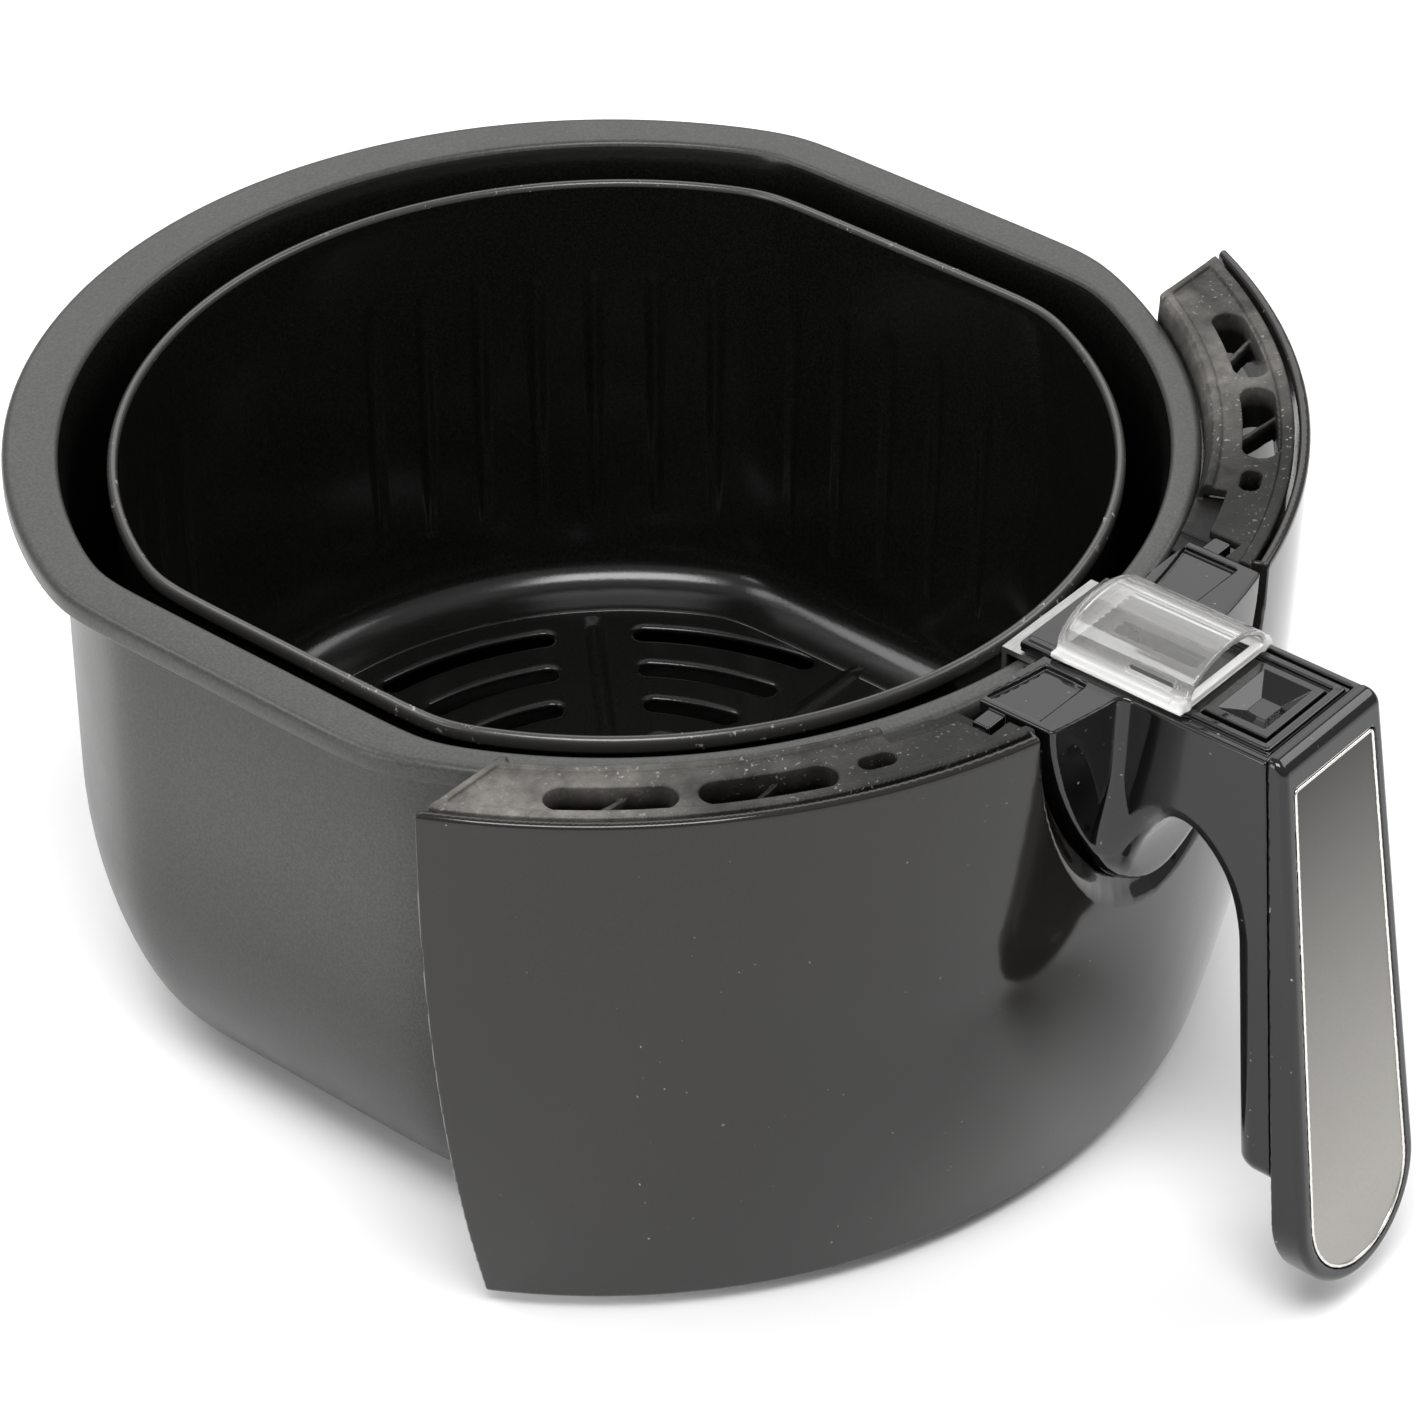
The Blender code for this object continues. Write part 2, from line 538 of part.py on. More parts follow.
def build_handle_body():
    """The block in the panel's recess, the arm and the inner half of the grip, moulded in one."""
    profile = panel_profile(PANEL_SKIN, -BLOCK_FRONT_INSET)
    outer = profile[: len(profile) // 2 + 1]
    ring = [(r, min(z, BLOCK_TOP)) for r, z in outer if z > BLOCK_BOTTOM - 0.02]
    ring = [ring[0]] + [p for p in ring[1:] if p[1] < BLOCK_TOP - 1e-6]
    ring += [(BLOCK_BACK_RADIUS, ring[-1][1]), (BLOCK_BACK_RADIUS, BLOCK_TOP)]
    body = turned("handle_body", ring, PANEL_STEPS, BLACK_GLOSS)
    tip = prism("keep_block", shield(0, BLOCK_TOP + 0.01), -0.16, -0.11, "Y")
    boolean(body, tip, "INTERSECT")

    side = [(-0.1400, FLANGE_TOP - 0.036), *UNDERSIDE, *reversed(PARTING), (-0.1400, FLANGE_TOP + 0.0090)]
    for sign, word in ((-1, "left"), (1, "right")):
        x = tuple(sorted((sign * (BLOCK_HALF - 0.002), sign * (BLOCK_HALF + TAB_REACH))))
        boolean(body, box(f"tab_{word}", x, (TAB_FRONT_Y, TAB_BACK_Y),
                          (FLANGE_TOP + 0.0008, FLANGE_TOP + 0.0040)), "UNION")
    arm = prism("arm", side, -0.03, 0.03, "X")
    boolean(arm, prism("keep_arm", handle_outline(0), -0.22, -0.13, "Y"), "INTERSECT")
    boolean(arm, box("cut_arm_top", (-0.04, 0.04), (-0.25, 0.0), (ARM_TOP, FLANGE_TOP + 0.03)))
    boolean(body, arm, "UNION")

    cuts = [
        box("cut_plate_seat", (-PLATE_HALF - GAP, PLATE_HALF + GAP), (PLATE_FRONT_Y - GAP, -0.12),
            (PLATE_LOW - GAP, FLANGE_TOP + 0.02)),
        box("cut_button_well", (-0.0120, 0.0120), (-0.1792, -0.1300), (SPRING_LOW - GAP, FLANGE_TOP + 0.02)),
        box("cut_latch_shaft", (-0.0070, 0.0070), (-0.1445, -0.1310), (FLANGE_TOP - 0.06, FLANGE_TOP + 0.02)),
        box("cut_latch_back", (-0.0070, 0.0070), (-0.1400, -0.1200), (FLANGE_TOP - 0.06, FLANGE_TOP - 0.012)),
        box("cut_bracket_slot", (-0.0154, 0.0154), (-0.1350, -0.1200),
            (FLANGE_TOP + 0.0005, FLANGE_TOP + 0.02)),
        rod("cut_pin_bore", (-0.0115, PIVOT_Y, PIVOT_Z), (0.0132, PIVOT_Y, PIVOT_Z), 0.0013, 14),
    ]
    for side_sign, word in ((-1, "left"), (1, "right")):
        cuts.append(rod(f"cut_bracket_screw_{word}", (side_sign * 0.0105, -0.1318, FLANGE_TOP - 0.010),
                        (side_sign * 0.0105, -0.1318, FLANGE_TOP + 0.003), 0.0014, 12))
    for name, z in HANDLE_SCREWS.items():
        y = grip_back(z)
        cuts.append(rod(f"cut_{name}_head", (0, y + 0.004, z), (0, y - 0.0030, z), 0.0032, 14))
        cuts.append(rod(f"cut_{name}_shank", (0, y, z), (0, y - 0.020, z), 0.0016, 12))
    for cutter in cuts:
        boolean(body, cutter)
    shade_round(body)
    return body


HANDLE_SCREWS = {"handle_screw_upper": FLANGE_TOP - 0.060, "handle_screw_lower": FLANGE_TOP - 0.098}


def grip_back(z):
    """The grip's rear face at a height, along its straight stretch."""
    return -0.1785 - (FLANGE_TOP - 0.050 - z) * (0.0045 / 0.044)


def build_handle_front():
    """The outer shell of the grip, and the inlay in its front face."""
    chin, top = HANDLE_BOTTOM - 0.0010, ARM_TOP + 0.0008
    crown = [(handle_front(top) + 0.0030, top), (handle_front(top) + 0.0010, top - 0.0010)]
    front = [(handle_front(z), z) for z in (top - 0.0035, chin)]
    seam = [(y - GAP, z) for y, z in PARTING if z < top - 0.0005]
    outline = [(seam[0][0] + 0.0002, top), *crown, *front, *reversed(seam)]
    shell = prism("handle_outer_shell", outline, -0.03, 0.03, "X", BLACK_GLOSS)
    boolean(shell, prism("keep_shell", handle_outline(0), -0.22, -0.13, "Y"), "INTERSECT")
    for name, z in HANDLE_SCREWS.items():
        y = grip_back(z)
        boolean(shell, rod(f"cut_shell_{name}", (0, y, z), (0, y - 0.0135, z), 0.0016, 12))

    def slab(outset, near, far):
        """Where the inlay lies: a sheet that follows the front face, near and far behind it."""
        z_high, z_low = ARM_TOP + 0.02, HANDLE_BOTTOM - 0.02
        return prism(f"slab_{outset * 1e4:.0f}", [(handle_front(z_high) + near, z_high),
                     (handle_front(z_high) + far, z_high), (handle_front(z_low) + far, z_low),
                     (handle_front(z_low) + near, z_low)], -0.03, 0.03, "X")

    pocket = prism("cut_inlay_pocket", inlay_outline(0), -0.22, -0.13, "Y")
    boolean(pocket, slab(0, -0.003, INLAY_DEPTH), "INTERSECT")
    boolean(shell, pocket)
    inlay = prism("handle_inlay", inlay_outline(GAP), -0.22, -0.13, "Y", SILVER_GREY)
    boolean(inlay, slab(GAP, -0.0002, INLAY_DEPTH - GAP), "INTERSECT")
    shade_round(shell)
    shade_round(inlay)
    for name, z in HANDLE_SCREWS.items():
        y = grip_back(z)
        screw(name, (0, y - 0.0030 + 0.0001, z), (0, -1, 0), 0.0028, 0.0014, 0.0013, 0.0090)


def inlay_outline(shrink):
    """The inlay seen from the front: square at the top, and a round lower end."""
    border = INLAY_BORDER + shrink
    top = FLANGE_TOP - 0.0012 - shrink
    end = arc((0, GRIP_ROUND_Z), GRIP_HALF - border, 0, -90, 8)
    return mirrored([(0, top), (ARM_TOP_HALF - border + 0.0002, top), *end])


def build_top_plate():
    """The plate that closes the arm, with the button's opening and the two rails for the cover."""
    plate = box("top_plate", (-PLATE_HALF, PLATE_HALF), (PLATE_FRONT_Y, PLATE_BACK_Y),
                (PLATE_LOW, PLATE_HIGH), BLACK_GLOSS)
    for side, word in ((-1, "left"), (1, "right")):
        x = tuple(sorted((side * 0.0118, side * 0.0130)))
        rail = box(f"rail_{word}", x, (-0.1795, -0.1310), (PLATE_LOW + 0.0002, PLATE_HIGH + 0.0002))
        boolean(plate, rail, "UNION")
    opening = box("cut_button_opening", (-BUTTON_HALF_X - GAP, BUTTON_HALF_X + GAP),
                  (BUTTON_Y - BUTTON_HALF_Y - GAP, BUTTON_Y + BUTTON_HALF_Y + GAP),
                  (PLATE_LOW - 0.01, PLATE_HIGH + 0.01))
    boolean(plate, opening)
    return plate


def build_release_button():
    low = FLANGE_TOP - 0.0010
    button = box("release_button", (-BUTTON_HALF_X, BUTTON_HALF_X),
                 (BUTTON_Y - BUTTON_HALF_Y, BUTTON_Y + BUTTON_HALF_Y), (low + 0.0005, FLANGE_TOP + 0.0050),
                 BLACK_GLOSS)
    skirt = box("button_skirt", (-BUTTON_HALF_X - 0.0010, BUTTON_HALF_X + 0.0010),
                (BUTTON_Y - BUTTON_HALF_Y - 0.0010, BUTTON_Y + BUTTON_HALF_Y + 0.0010),
                (low, PLATE_LOW - GAP))
    boolean(button, skirt, "UNION")
    bm = bmesh.new()
    bmesh.ops.create_cone(bm, cap_ends=True, segments=4, radius1=0.0012, radius2=0.0108, depth=0.0030)
    bmesh.ops.transform(bm, verts=bm.verts, matrix=Matrix.Translation((0, BUTTON_Y, FLANGE_TOP + 0.0046))
                        @ Matrix.Diagonal((1.0, 0.72, 1, 1)) @ Matrix.Rotation(math.radians(45), 4, "Z"))
    dish = new_object("cut_button_dish", mesh_from(bm, "cut_button_dish"), None, CUTTERS)
    boolean(button, dish)
    return button


def cover_arch(half, rise, base):
    """The cover's section: short upright sides and an arched top."""
    top = [(half * math.cos(a), base + COVER_SIDE + rise * math.sin(a))
           for a in (math.radians(90 * i / 8) for i in range(9))]
    return mirrored([*reversed(top), (half, base)])


def build_slide_cover():
    cover = prism("slide_cover", cover_arch(COVER_HALF, COVER_RISE - COVER_SIDE, COVER_BASE),
                  COVER_FRONT_Y, COVER_BACK_Y, "Y", CLEAR)
    hollow = prism("cut_cover", cover_arch(COVER_HALF - COVER_SKIN, COVER_RISE - COVER_SIDE - COVER_SKIN,
                                           COVER_BASE - 0.001), COVER_FRONT_Y - 0.01,
                   COVER_BACK_Y - COVER_SKIN, "Y")
    boolean(cover, hollow)
    shade_round(cover)
    return cover


# ---- latch ----------------------------------------------------------------------------------------
def build_latch():
    """A bell-crank: the button presses its front end, and its hook swings back from the catch."""
    y, z, top = PIVOT_Y, PIVOT_Z, FLANGE_TOP
    outline = [
        (y + 0.0030, z + 0.0026), (y - 0.0060, z + 0.0026), (y - 0.0310, top - 0.0042),
        (y - 0.0330, top - 0.0014), (y - 0.0358, top - 0.0014), (y - 0.0358, top - 0.0058),
        (y - 0.0080, top - 0.0100), (y - 0.0020, top - 0.0150), (y - 0.0020, top - 0.0400),
        (CATCH_Y + 0.0006 + 0.0004, top - 0.0420), (CATCH_Y + 0.0006 + 0.0004, top - 0.0440),
        (y + 0.0018, top - 0.0460), (y + 0.0018, top - 0.0120),
    ]
    lever = prism("latch_lever", outline, -LEVER_HALF, LEVER_HALF, "X", STEEL)
    boolean(lever, rod("cut_lever_bore", (-0.01, y, z), (0.01, y, z), 0.0013, 14))
    rod("latch_pin", (-0.0110, y, z), (0.0128, y, z), 0.0012, 14, STEEL)
    shade_round(bpy.data.objects["latch_pin"])

    plate = box("catch_plate", (-0.006, 0.006), (CATCH_Y - 0.0006, CATCH_Y + 0.0006),
                (FLANGE_TOP - 0.082, FLANGE_TOP - 0.035), STEEL)
    boolean(plate, box("cut_catch_window", (-0.0034, 0.0034), (CATCH_Y - 0.01, CATCH_Y + 0.01),
                       (FLANGE_TOP - 0.047, FLANGE_TOP - 0.040)))
    for word, height in (("upper", CATCH_SCREWS[0]), ("lower", CATCH_SCREWS[1])):
        boolean(plate, rod(f"cut_catch_{word}", (0, CATCH_Y - 0.004, height), (0, CATCH_Y + 0.004, height),
                           0.0014, 12))
        screw(f"catch_screw_{word}", (0, CATCH_Y + 0.0006 + 0.0001, height), (0, -1, 0), 0.0025, 0.0013,
              0.0010, CATCH_SCREW_DEPTH + 0.0004)


def build_return_spring():
    """A coil between the well's floor and the lever's front end."""
    curve = bpy.data.curves.new("return_spring", "CURVE")
    curve.dimensions = "3D"
    curve.bevel_depth = SPRING_WIRE
    curve.bevel_resolution = 1
    curve.use_fill_caps = True
    count = 8 * SPRING_TURNS + 1
    spline = curve.splines.new("POLY")
    spline.points.add(count - 1)
    low, high = SPRING_LOW + SPRING_WIRE + GAP, SPRING_HIGH - SPRING_WIRE - GAP
    for i, point in enumerate(spline.points):
        turn = 2 * math.pi * SPRING_TURNS * i / (count - 1)
        point.co = (SPRING_RADIUS * math.cos(turn), SPRING_Y + SPRING_RADIUS * math.sin(turn),
                    low + (high - low) * i / (count - 1), 1)
    spring = bpy.data.objects.new("return_spring", curve)
    PARTS.objects.link(spring)
    curve.materials.append(STEEL)


build_pan()
build_basket()
build_basket_bracket()
build_front_panel()
build_bezels()
build_panel_brackets()
build_handle_body()
build_handle_front()
build_top_plate()
build_release_button()
build_slide_cover()
build_latch()
build_return_spring()
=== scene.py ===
import json
import math

import bpy
import numpy as np
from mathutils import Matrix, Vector

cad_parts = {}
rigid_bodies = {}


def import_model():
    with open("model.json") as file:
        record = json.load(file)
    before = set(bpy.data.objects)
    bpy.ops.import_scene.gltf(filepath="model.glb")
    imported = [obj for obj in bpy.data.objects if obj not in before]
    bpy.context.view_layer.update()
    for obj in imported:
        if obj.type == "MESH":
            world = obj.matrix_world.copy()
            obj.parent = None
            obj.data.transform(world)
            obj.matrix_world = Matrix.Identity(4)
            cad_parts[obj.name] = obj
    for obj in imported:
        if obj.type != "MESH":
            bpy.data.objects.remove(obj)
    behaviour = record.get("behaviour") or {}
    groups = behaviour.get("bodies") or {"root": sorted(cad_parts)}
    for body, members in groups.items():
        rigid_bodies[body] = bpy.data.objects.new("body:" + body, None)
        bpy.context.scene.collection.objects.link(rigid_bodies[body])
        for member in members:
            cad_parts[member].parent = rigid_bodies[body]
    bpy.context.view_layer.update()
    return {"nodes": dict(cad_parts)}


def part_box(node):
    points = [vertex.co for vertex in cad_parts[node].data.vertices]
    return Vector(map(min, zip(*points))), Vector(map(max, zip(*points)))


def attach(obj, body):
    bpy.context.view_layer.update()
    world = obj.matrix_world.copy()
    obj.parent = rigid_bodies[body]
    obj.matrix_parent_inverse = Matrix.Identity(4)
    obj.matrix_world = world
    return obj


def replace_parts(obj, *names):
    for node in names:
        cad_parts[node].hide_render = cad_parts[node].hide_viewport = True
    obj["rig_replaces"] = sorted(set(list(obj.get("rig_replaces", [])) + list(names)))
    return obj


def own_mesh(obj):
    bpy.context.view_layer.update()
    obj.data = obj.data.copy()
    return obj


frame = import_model()

# Lengths here are millimetres, and heights are measured from the top of the pan's flange.
MM = 0.001
FLANGE_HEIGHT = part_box("pan")[1].z / MM

FLANGE_RADIUS, FLANGE_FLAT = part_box("pan")[1].y / MM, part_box("pan")[1].x / MM
WALL_CENTRE_Y, WALL_RADIUS, WALL_FLAT, PAN_SKIN = -3.5, 117.8, 110.8, 1.6
PAN_FILLET_R, PAN_FILLET_Z = 30, 54
BASKET_CENTRE_Y, BASKET_RADIUS, BASKET_FLAT = -4.0, 106.8, 99.8
BASKET_TOP, BASKET_FLOOR, BASKET_SKIN, BASKET_DRAFT = -3.4, -112.0, 1.2, 1.2
GROOVE_TOP, GROOVE_BOTTOM, GROOVE_DEPTH = -30.0, -92.0, 2.4
SLOT_RADII, SLOT_HALF, SLOT_SECTORS, SLOT_TO_SPOKE = (81.0, 67.0, 53.0, 39.0), 2.5, 8, 12.0
CORNER = 1.2                      # how softly a flat side runs into the round

PANEL_TOP, PANEL_BOTTOM, PANEL_RADIUS, PANEL_SKIN = 5.2, -127.8, 149.5, 2.4
PANEL_TUCK, PANEL_TUCK_POWER = 14.0, 2.2
PANEL_BACK_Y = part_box("front_panel")[1].y / MM
SCOOP_HALF, SCOOP_DEPTH, SCOOP_INSET = 38.7, 54.5, 3.0
BOSS_ANGLE, BOSS_HEIGHTS = math.radians(42), (-42, -58)
VENT_RADIUS, VENT_HALF = 139.0, 3.7
VENT_SPANS = ((54.2, 43.5), (41.9, 30.6))

BLOCK_HALF, BLOCK_TOP, BLOCK_DEPTH, BLOCK_BACK_RADIUS = 35.5, 5.0, 52.8, 128.8
ARM_TOP, ARM_TOP_HALF = 4.7, 16.7
GRIP_HALF, GRIP_ROUND_Z = 20.3, -104.2
HANDLE_SCREW_HEIGHTS = (-60, -98)
INLAY_BORDER = 3.1
PLATE_HALF, PLATE_FRONT, PLATE_BACK, RAIL_TOP = 14.5, -180.5, -121.3, 5.0
BUTTON_Y = -170.0
COVER_BASE, COVER_BACK, COVER_FRONT, COVER_SKIN = 5.3, -128.5, -161.0, 1.4


# ---- surfaces from signed distances ---------------------------------------------------------------
def both(a, b, r=0.0):
    """Where both hold: the larger distance, with an edge rounded by r."""
    return np.minimum(np.maximum(a, b), -r) + np.hypot(np.maximum(a + r, 0), np.maximum(b + r, 0))


def either(a, b, r=0.0):
    """Where one holds: the smaller distance, with a hollow corner filled by r."""
    return -both(-a, -b, r)


def without(a, b, r=0.0):
    """Shape a with shape b cut away, and the new edge rounded by r."""
    return both(a, -b, r)


def between(value, low, high):
    """Distance of a value outside an interval, negative inside it."""
    return np.maximum(low - value, value - high)


def fade(value, low, high):
    """A smooth step from 0 at low to 1 at high."""
    t = np.clip((value - low) / (high - low), 0, 1)
    return t * t * (3 - 2 * t)


def block(p, x, y, z, r=0.0):
    """A box from its (low, high) pairs, with edges rounded by r."""
    return both(both(between(p[0], *x), between(p[1], *y), r), between(p[2], *z), r)


def polygon(u, v, outline):
    """Signed distance in a plane from a closed outline, negative inside."""
    u, v = np.broadcast_arrays(u, v)
    near = np.full(u.shape, 1e9)
    inside = np.zeros(u.shape, bool)
    for (au, av), (bu, bv) in zip(outline, outline[1:] + outline[:1]):
        du, dv = bu - au, bv - av
        t = np.clip(((u - au) * du + (v - av) * dv) / (du * du + dv * dv), 0, 1)
        near = np.minimum(near, (u - au - t * du) ** 2 + (v - av - t * dv) ** 2)
        if dv:
            inside ^= ((av > v) != (bv > v)) & (u < (v - av) * du / dv + au)
    return np.where(inside, -1, 1) * np.sqrt(near)


def smooth(points, steps=4):
    """A Catmull-Rom curve through the points."""
    ends = [points[0], *points, points[-1]]
    out = [points[0]]
    for a, b, c, d in zip(ends, ends[1:], ends[2:], ends[3:]):
        for i in range(1, steps + 1):
            t = i / steps
            out.append(tuple(0.5 * (2 * q + (r - p) * t + (2 * p - 5 * q + 4 * r - s) * t**2
                                    + (3 * q - p - 3 * r + s) * t**3) for p, q, r, s in zip(a, b, c, d)))
    return out


def slope_of(field, points, reach):
    """The gradient of a field at points, by differences over reach on either side."""
    slope = np.empty_like(points)
    for axis in range(3):
        step = np.zeros(3)
        step[axis] = reach
        slope[:, axis] = (field((points + step).T) - field((points - step).T)) / (2 * reach)
    return slope


def surface(name, field, low, high, step, finish):
    """A mesh of the zero surface of a signed distance, sampled every step between two corners."""
    axes = [np.arange(a, b + step, step, dtype=np.float32) for a, b in zip(low, high)]
    grid = (axes[0][:, None, None], axes[1][None, :, None], axes[2][None, None, :])
    shape = tuple(len(a) for a in axes)
    value = np.broadcast_to(field(grid), shape).astype(np.float32)
    inside = value < 0
    corners = np.array([(i, j, k) for i in (0, 1) for j in (0, 1) for k in (0, 1)])
    count = np.zeros([n - 1 for n in shape], np.int8)
    for i, j, k in corners:
        count += inside[i:shape[0] - 1 + i, j:shape[1] - 1 + j, k:shape[2] - 1 + k]
    cells = np.argwhere((count > 0) & (count < 8))
    number = np.full(count.shape, -1, np.int64)
    number[tuple(cells.T)] = np.arange(len(cells))
    at = np.stack([value[tuple((cells + c).T)] for c in corners], 1).astype(float)
    total, hits = np.zeros((len(cells), 3)), np.zeros(len(cells))
    for a in range(8):
        for b in range(a + 1, 8):
            if abs(corners[b] - corners[a]).sum() != 1:
                continue
            cross = (at[:, a] < 0) != (at[:, b] < 0)
            t = at[cross, a] / (at[cross, a] - at[cross, b])
            total[cross] += corners[a] + t[:, None] * (corners[b] - corners[a])
            hits[cross] += 1
    points = (cells + total / hits[:, None]) * step + np.array([a[0] for a in axes], float)
    for _ in range(3):
        slope = slope_of(field, points, 0.02)
        move = (field(points.T) / np.maximum((slope**2).sum(1), 0.05))[:, None] * slope
        length = np.linalg.norm(move, axis=1, keepdims=True)
        points = points - move * np.minimum(1, 0.4 * step / np.maximum(length, 1e-9))
    normals = slope_of(field, points, 0.12)
    normals /= np.maximum(np.linalg.norm(normals, axis=1, keepdims=True), 1e-9)

    quads = []
    for axis in range(3):
        u, v = np.delete(np.eye(3, dtype=int), axis, 0)
        low_side = np.take(inside, range(shape[axis] - 1), axis)
        high_side = np.take(inside, range(1, shape[axis]), axis)
        edges = np.argwhere(low_side != high_side)
        others = [a for a in range(3) if a != axis]
        room = ((edges[:, others] >= 1) & (edges[:, others] <= np.array(shape)[others] - 2)).all(1)
        edges = edges[room]
        quad = np.stack([number[tuple((edges - s).T)] for s in (u + v, v, 0 * u, u)], 1)
        leaves = low_side[tuple(edges.T)] != (axis == 1)
        quads.append(np.where(leaves[:, None], quad, quad[:, ::-1]))
    return mesh_object(name, points, np.concatenate(quads), finish, normals)


def mesh_object(name, points, quads, finish, normals=None):
    """An object from points in this file's millimetres and faces of four corners."""
    mesh = bpy.data.meshes.new(name)
    mesh.vertices.add(len(points))
    mesh.vertices.foreach_set("co", ((points + (0, 0, FLANGE_HEIGHT)) * MM).astype(np.float32).ravel())
    mesh.loops.add(4 * len(quads))
    mesh.loops.foreach_set("vertex_index", quads.astype(np.int32).ravel())
    mesh.polygons.add(len(quads))
    mesh.polygons.foreach_set("loop_start", np.arange(0, 4 * len(quads), 4, dtype=np.int32))
    mesh.update(calc_edges=True)
    mesh.shade_smooth()
    if normals is not None:
        mesh.normals_split_custom_set_from_vertices(normals.tolist())
    mesh.materials.append(finish)
    made = bpy.data.objects.new(name, mesh)
    bpy.context.scene.collection.objects.link(made)
    return made


def loft(name, rings, finish, closed=True, second=None, second_rows=()):
    """A skin through rings of equal length, each closed round. The given rows get the second material."""
    count, around = rings.shape[:2]
    last = count if closed else count - 1
    i, j = np.meshgrid(np.arange(last), np.arange(around), indexing="ij")
    i2, j2 = (i + 1) % count, (j + 1) % around
    quads = np.stack([i * around + j, i * around + j2, i2 * around + j2, i2 * around + j], -1).reshape(-1, 4)
    made = mesh_object(name, rings.reshape(-1, 3), quads, finish)
    if second:
        made.data.materials.append(second)
        row = np.repeat(np.isin(np.arange(last), second_rows), around).astype(np.int32)
        made.data.polygons.foreach_set("material_index", row)
    return made


# ---- procedural materials -------------------------------------------------------------------------
class Finish:
    """A Principled material with its noise driven by object coordinates, in metres."""

    def __init__(self, name, color, roughness, metallic=0.0, **sockets):
        self.material = bpy.data.materials.new(name)
        self.material.use_nodes = True
        self.nodes, self.links = self.material.node_tree.nodes, self.material.node_tree.links
        self.shader = self.nodes["Principled BSDF"]
        self.set(self.shader, "Base Color", (*color, 1))
        self.set(self.shader, "Roughness", roughness)
        self.set(self.shader, "Metallic", metallic)
        for socket, value in sockets.items():
            self.set(self.shader, socket.replace("_", " "), value)
        self.place = self.node("ShaderNodeTexCoord").outputs["Object"]

    def node(self, kind, **settings):
        made = self.nodes.new(kind)
        for key, value in settings.items():
            setattr(made, key, value)
        return made

    def set(self, node, socket, value):
        """Links an output, or writes a constant, to a socket by name or number."""
        target = node.inputs[socket]
        if isinstance(value, bpy.types.NodeSocket):
            self.links.new(value, target)
        else:
            target.default_value = value

    def noise(self, scale, detail=2.0, roughness=0.5, stretch=None):
        place = self.place
        if stretch:
            mapped = self.node("ShaderNodeMapping")
            self.set(mapped, "Vector", place)
            self.set(mapped, "Scale", stretch)
            place = mapped.outputs[0]
        made = self.node("ShaderNodeTexNoise")
        self.set(made, "Vector", place)
        self.set(made, "Scale", scale)
        self.set(made, "Detail", detail)
        self.set(made, "Roughness", roughness)
        return made.outputs["Fac"]

    def ramp(self, value, low, high, start=(0, 0, 0), end=(1, 1, 1)):
        made = self.node("ShaderNodeValToRGB")
        self.set(made, "Fac", value)
        made.color_ramp.elements[0].position, made.color_ramp.elements[1].position = low, high
        made.color_ramp.elements[0].color = (*start, 1)
        made.color_ramp.elements[1].color = (*end, 1)
        return made.outputs["Color"]

    def mix(self, amount, a, b):
        made = self.node("ShaderNodeMix", data_type="RGBA")
        self.set(made, 0, amount)
        self.set(made, 6, a)
        self.set(made, 7, b)
        return made.outputs[2]

    def between(self, value, low, high):
        made = self.node("ShaderNodeMapRange")
        self.set(made, 0, value)
        self.set(made, 3, low)
        self.set(made, 4, high)
        return made.outputs[0]

    def along(self, axis, low, high):
        """How far a place is along an axis, from 0 at low to 1 at high, in metres."""
        split = self.node("ShaderNodeSeparateXYZ")
        self.set(split, 0, self.place)
        made = self.node("ShaderNodeMapRange")
        self.set(made, 0, split.outputs[axis])
        self.set(made, 1, low)
        self.set(made, 2, high)
        return made.outputs[0]

    def tinted(self, color, tone):
        made = self.node("ShaderNodeMix", data_type="RGBA", blend_type="MULTIPLY")
        for socket, value in ((0, 1.0), (6, color), (7, tone)):
            self.set(made, socket, value)
        return made.outputs[2]

    def bump(self, height, strength, depth):
        made = self.node("ShaderNodeBump")
        self.set(made, "Strength", strength)
        self.set(made, "Distance", depth)
        self.set(made, "Height", height)
        before = self.shader.inputs["Normal"]
        if before.is_linked:
            self.links.new(before.links[0].from_socket, made.inputs["Normal"])
        self.set(self.shader, "Normal", made.outputs["Normal"])

    def color(self, value):
        self.set(self.shader, "Base Color", value)

    def roughness(self, value):
        self.set(self.shader, "Roughness", value)


def dust(finish, base, amount, tone=(0.32, 0.30, 0.28), scale=900):
    """Fine pale dust over a base colour, thicker in some patches than in others."""
    specks = finish.ramp(finish.noise(scale, 1.0), 0.80 - amount * 0.06, 0.84 - amount * 0.05)
    patches = finish.ramp(finish.noise(45, 3.0), 0.42, 0.72)
    both_of = finish.node("ShaderNodeMath", operation="MULTIPLY")
    finish.set(both_of, 0, specks)
    finish.set(both_of, 1, patches)
    return finish.mix(both_of.outputs[0], base, (*tone, 1))


def coating(name, dark, light, roughness, specular=0.5, foot=1.0):
    """A speckled coating, with painted shade that darkens its tone to foot times itself over the lowest part
    of the wall.
    """
    made = Finish(name, dark, roughness, Specular_IOR_Level=specular)
    speckle_and_foot_shade = made.ramp(made.noise(1700, 2.0, 0.6), 0.40, 0.72, dark, light)
    # Painted shade: the colour darkens over the lowest 85 mm, down to foot times itself at the bottom.
    if foot < 1:
        rise = made.along("Z", 0.0, 0.085)
        speckle_and_foot_shade = made.tinted(speckle_and_foot_shade, made.ramp(rise, 0.0, 1.0, (foot,) * 3, (1, 1, 1)))
    made.color(speckle_and_foot_shade)
    made.roughness(made.between(made.noise(60, 4.0), roughness - 0.05, roughness + 0.06))
    made.bump(made.noise(1100, 3.0, 0.6), 0.07, 0.0003)
    made.bump(made.noise(28, 2.0), 0.05, 0.002)
    return made.material


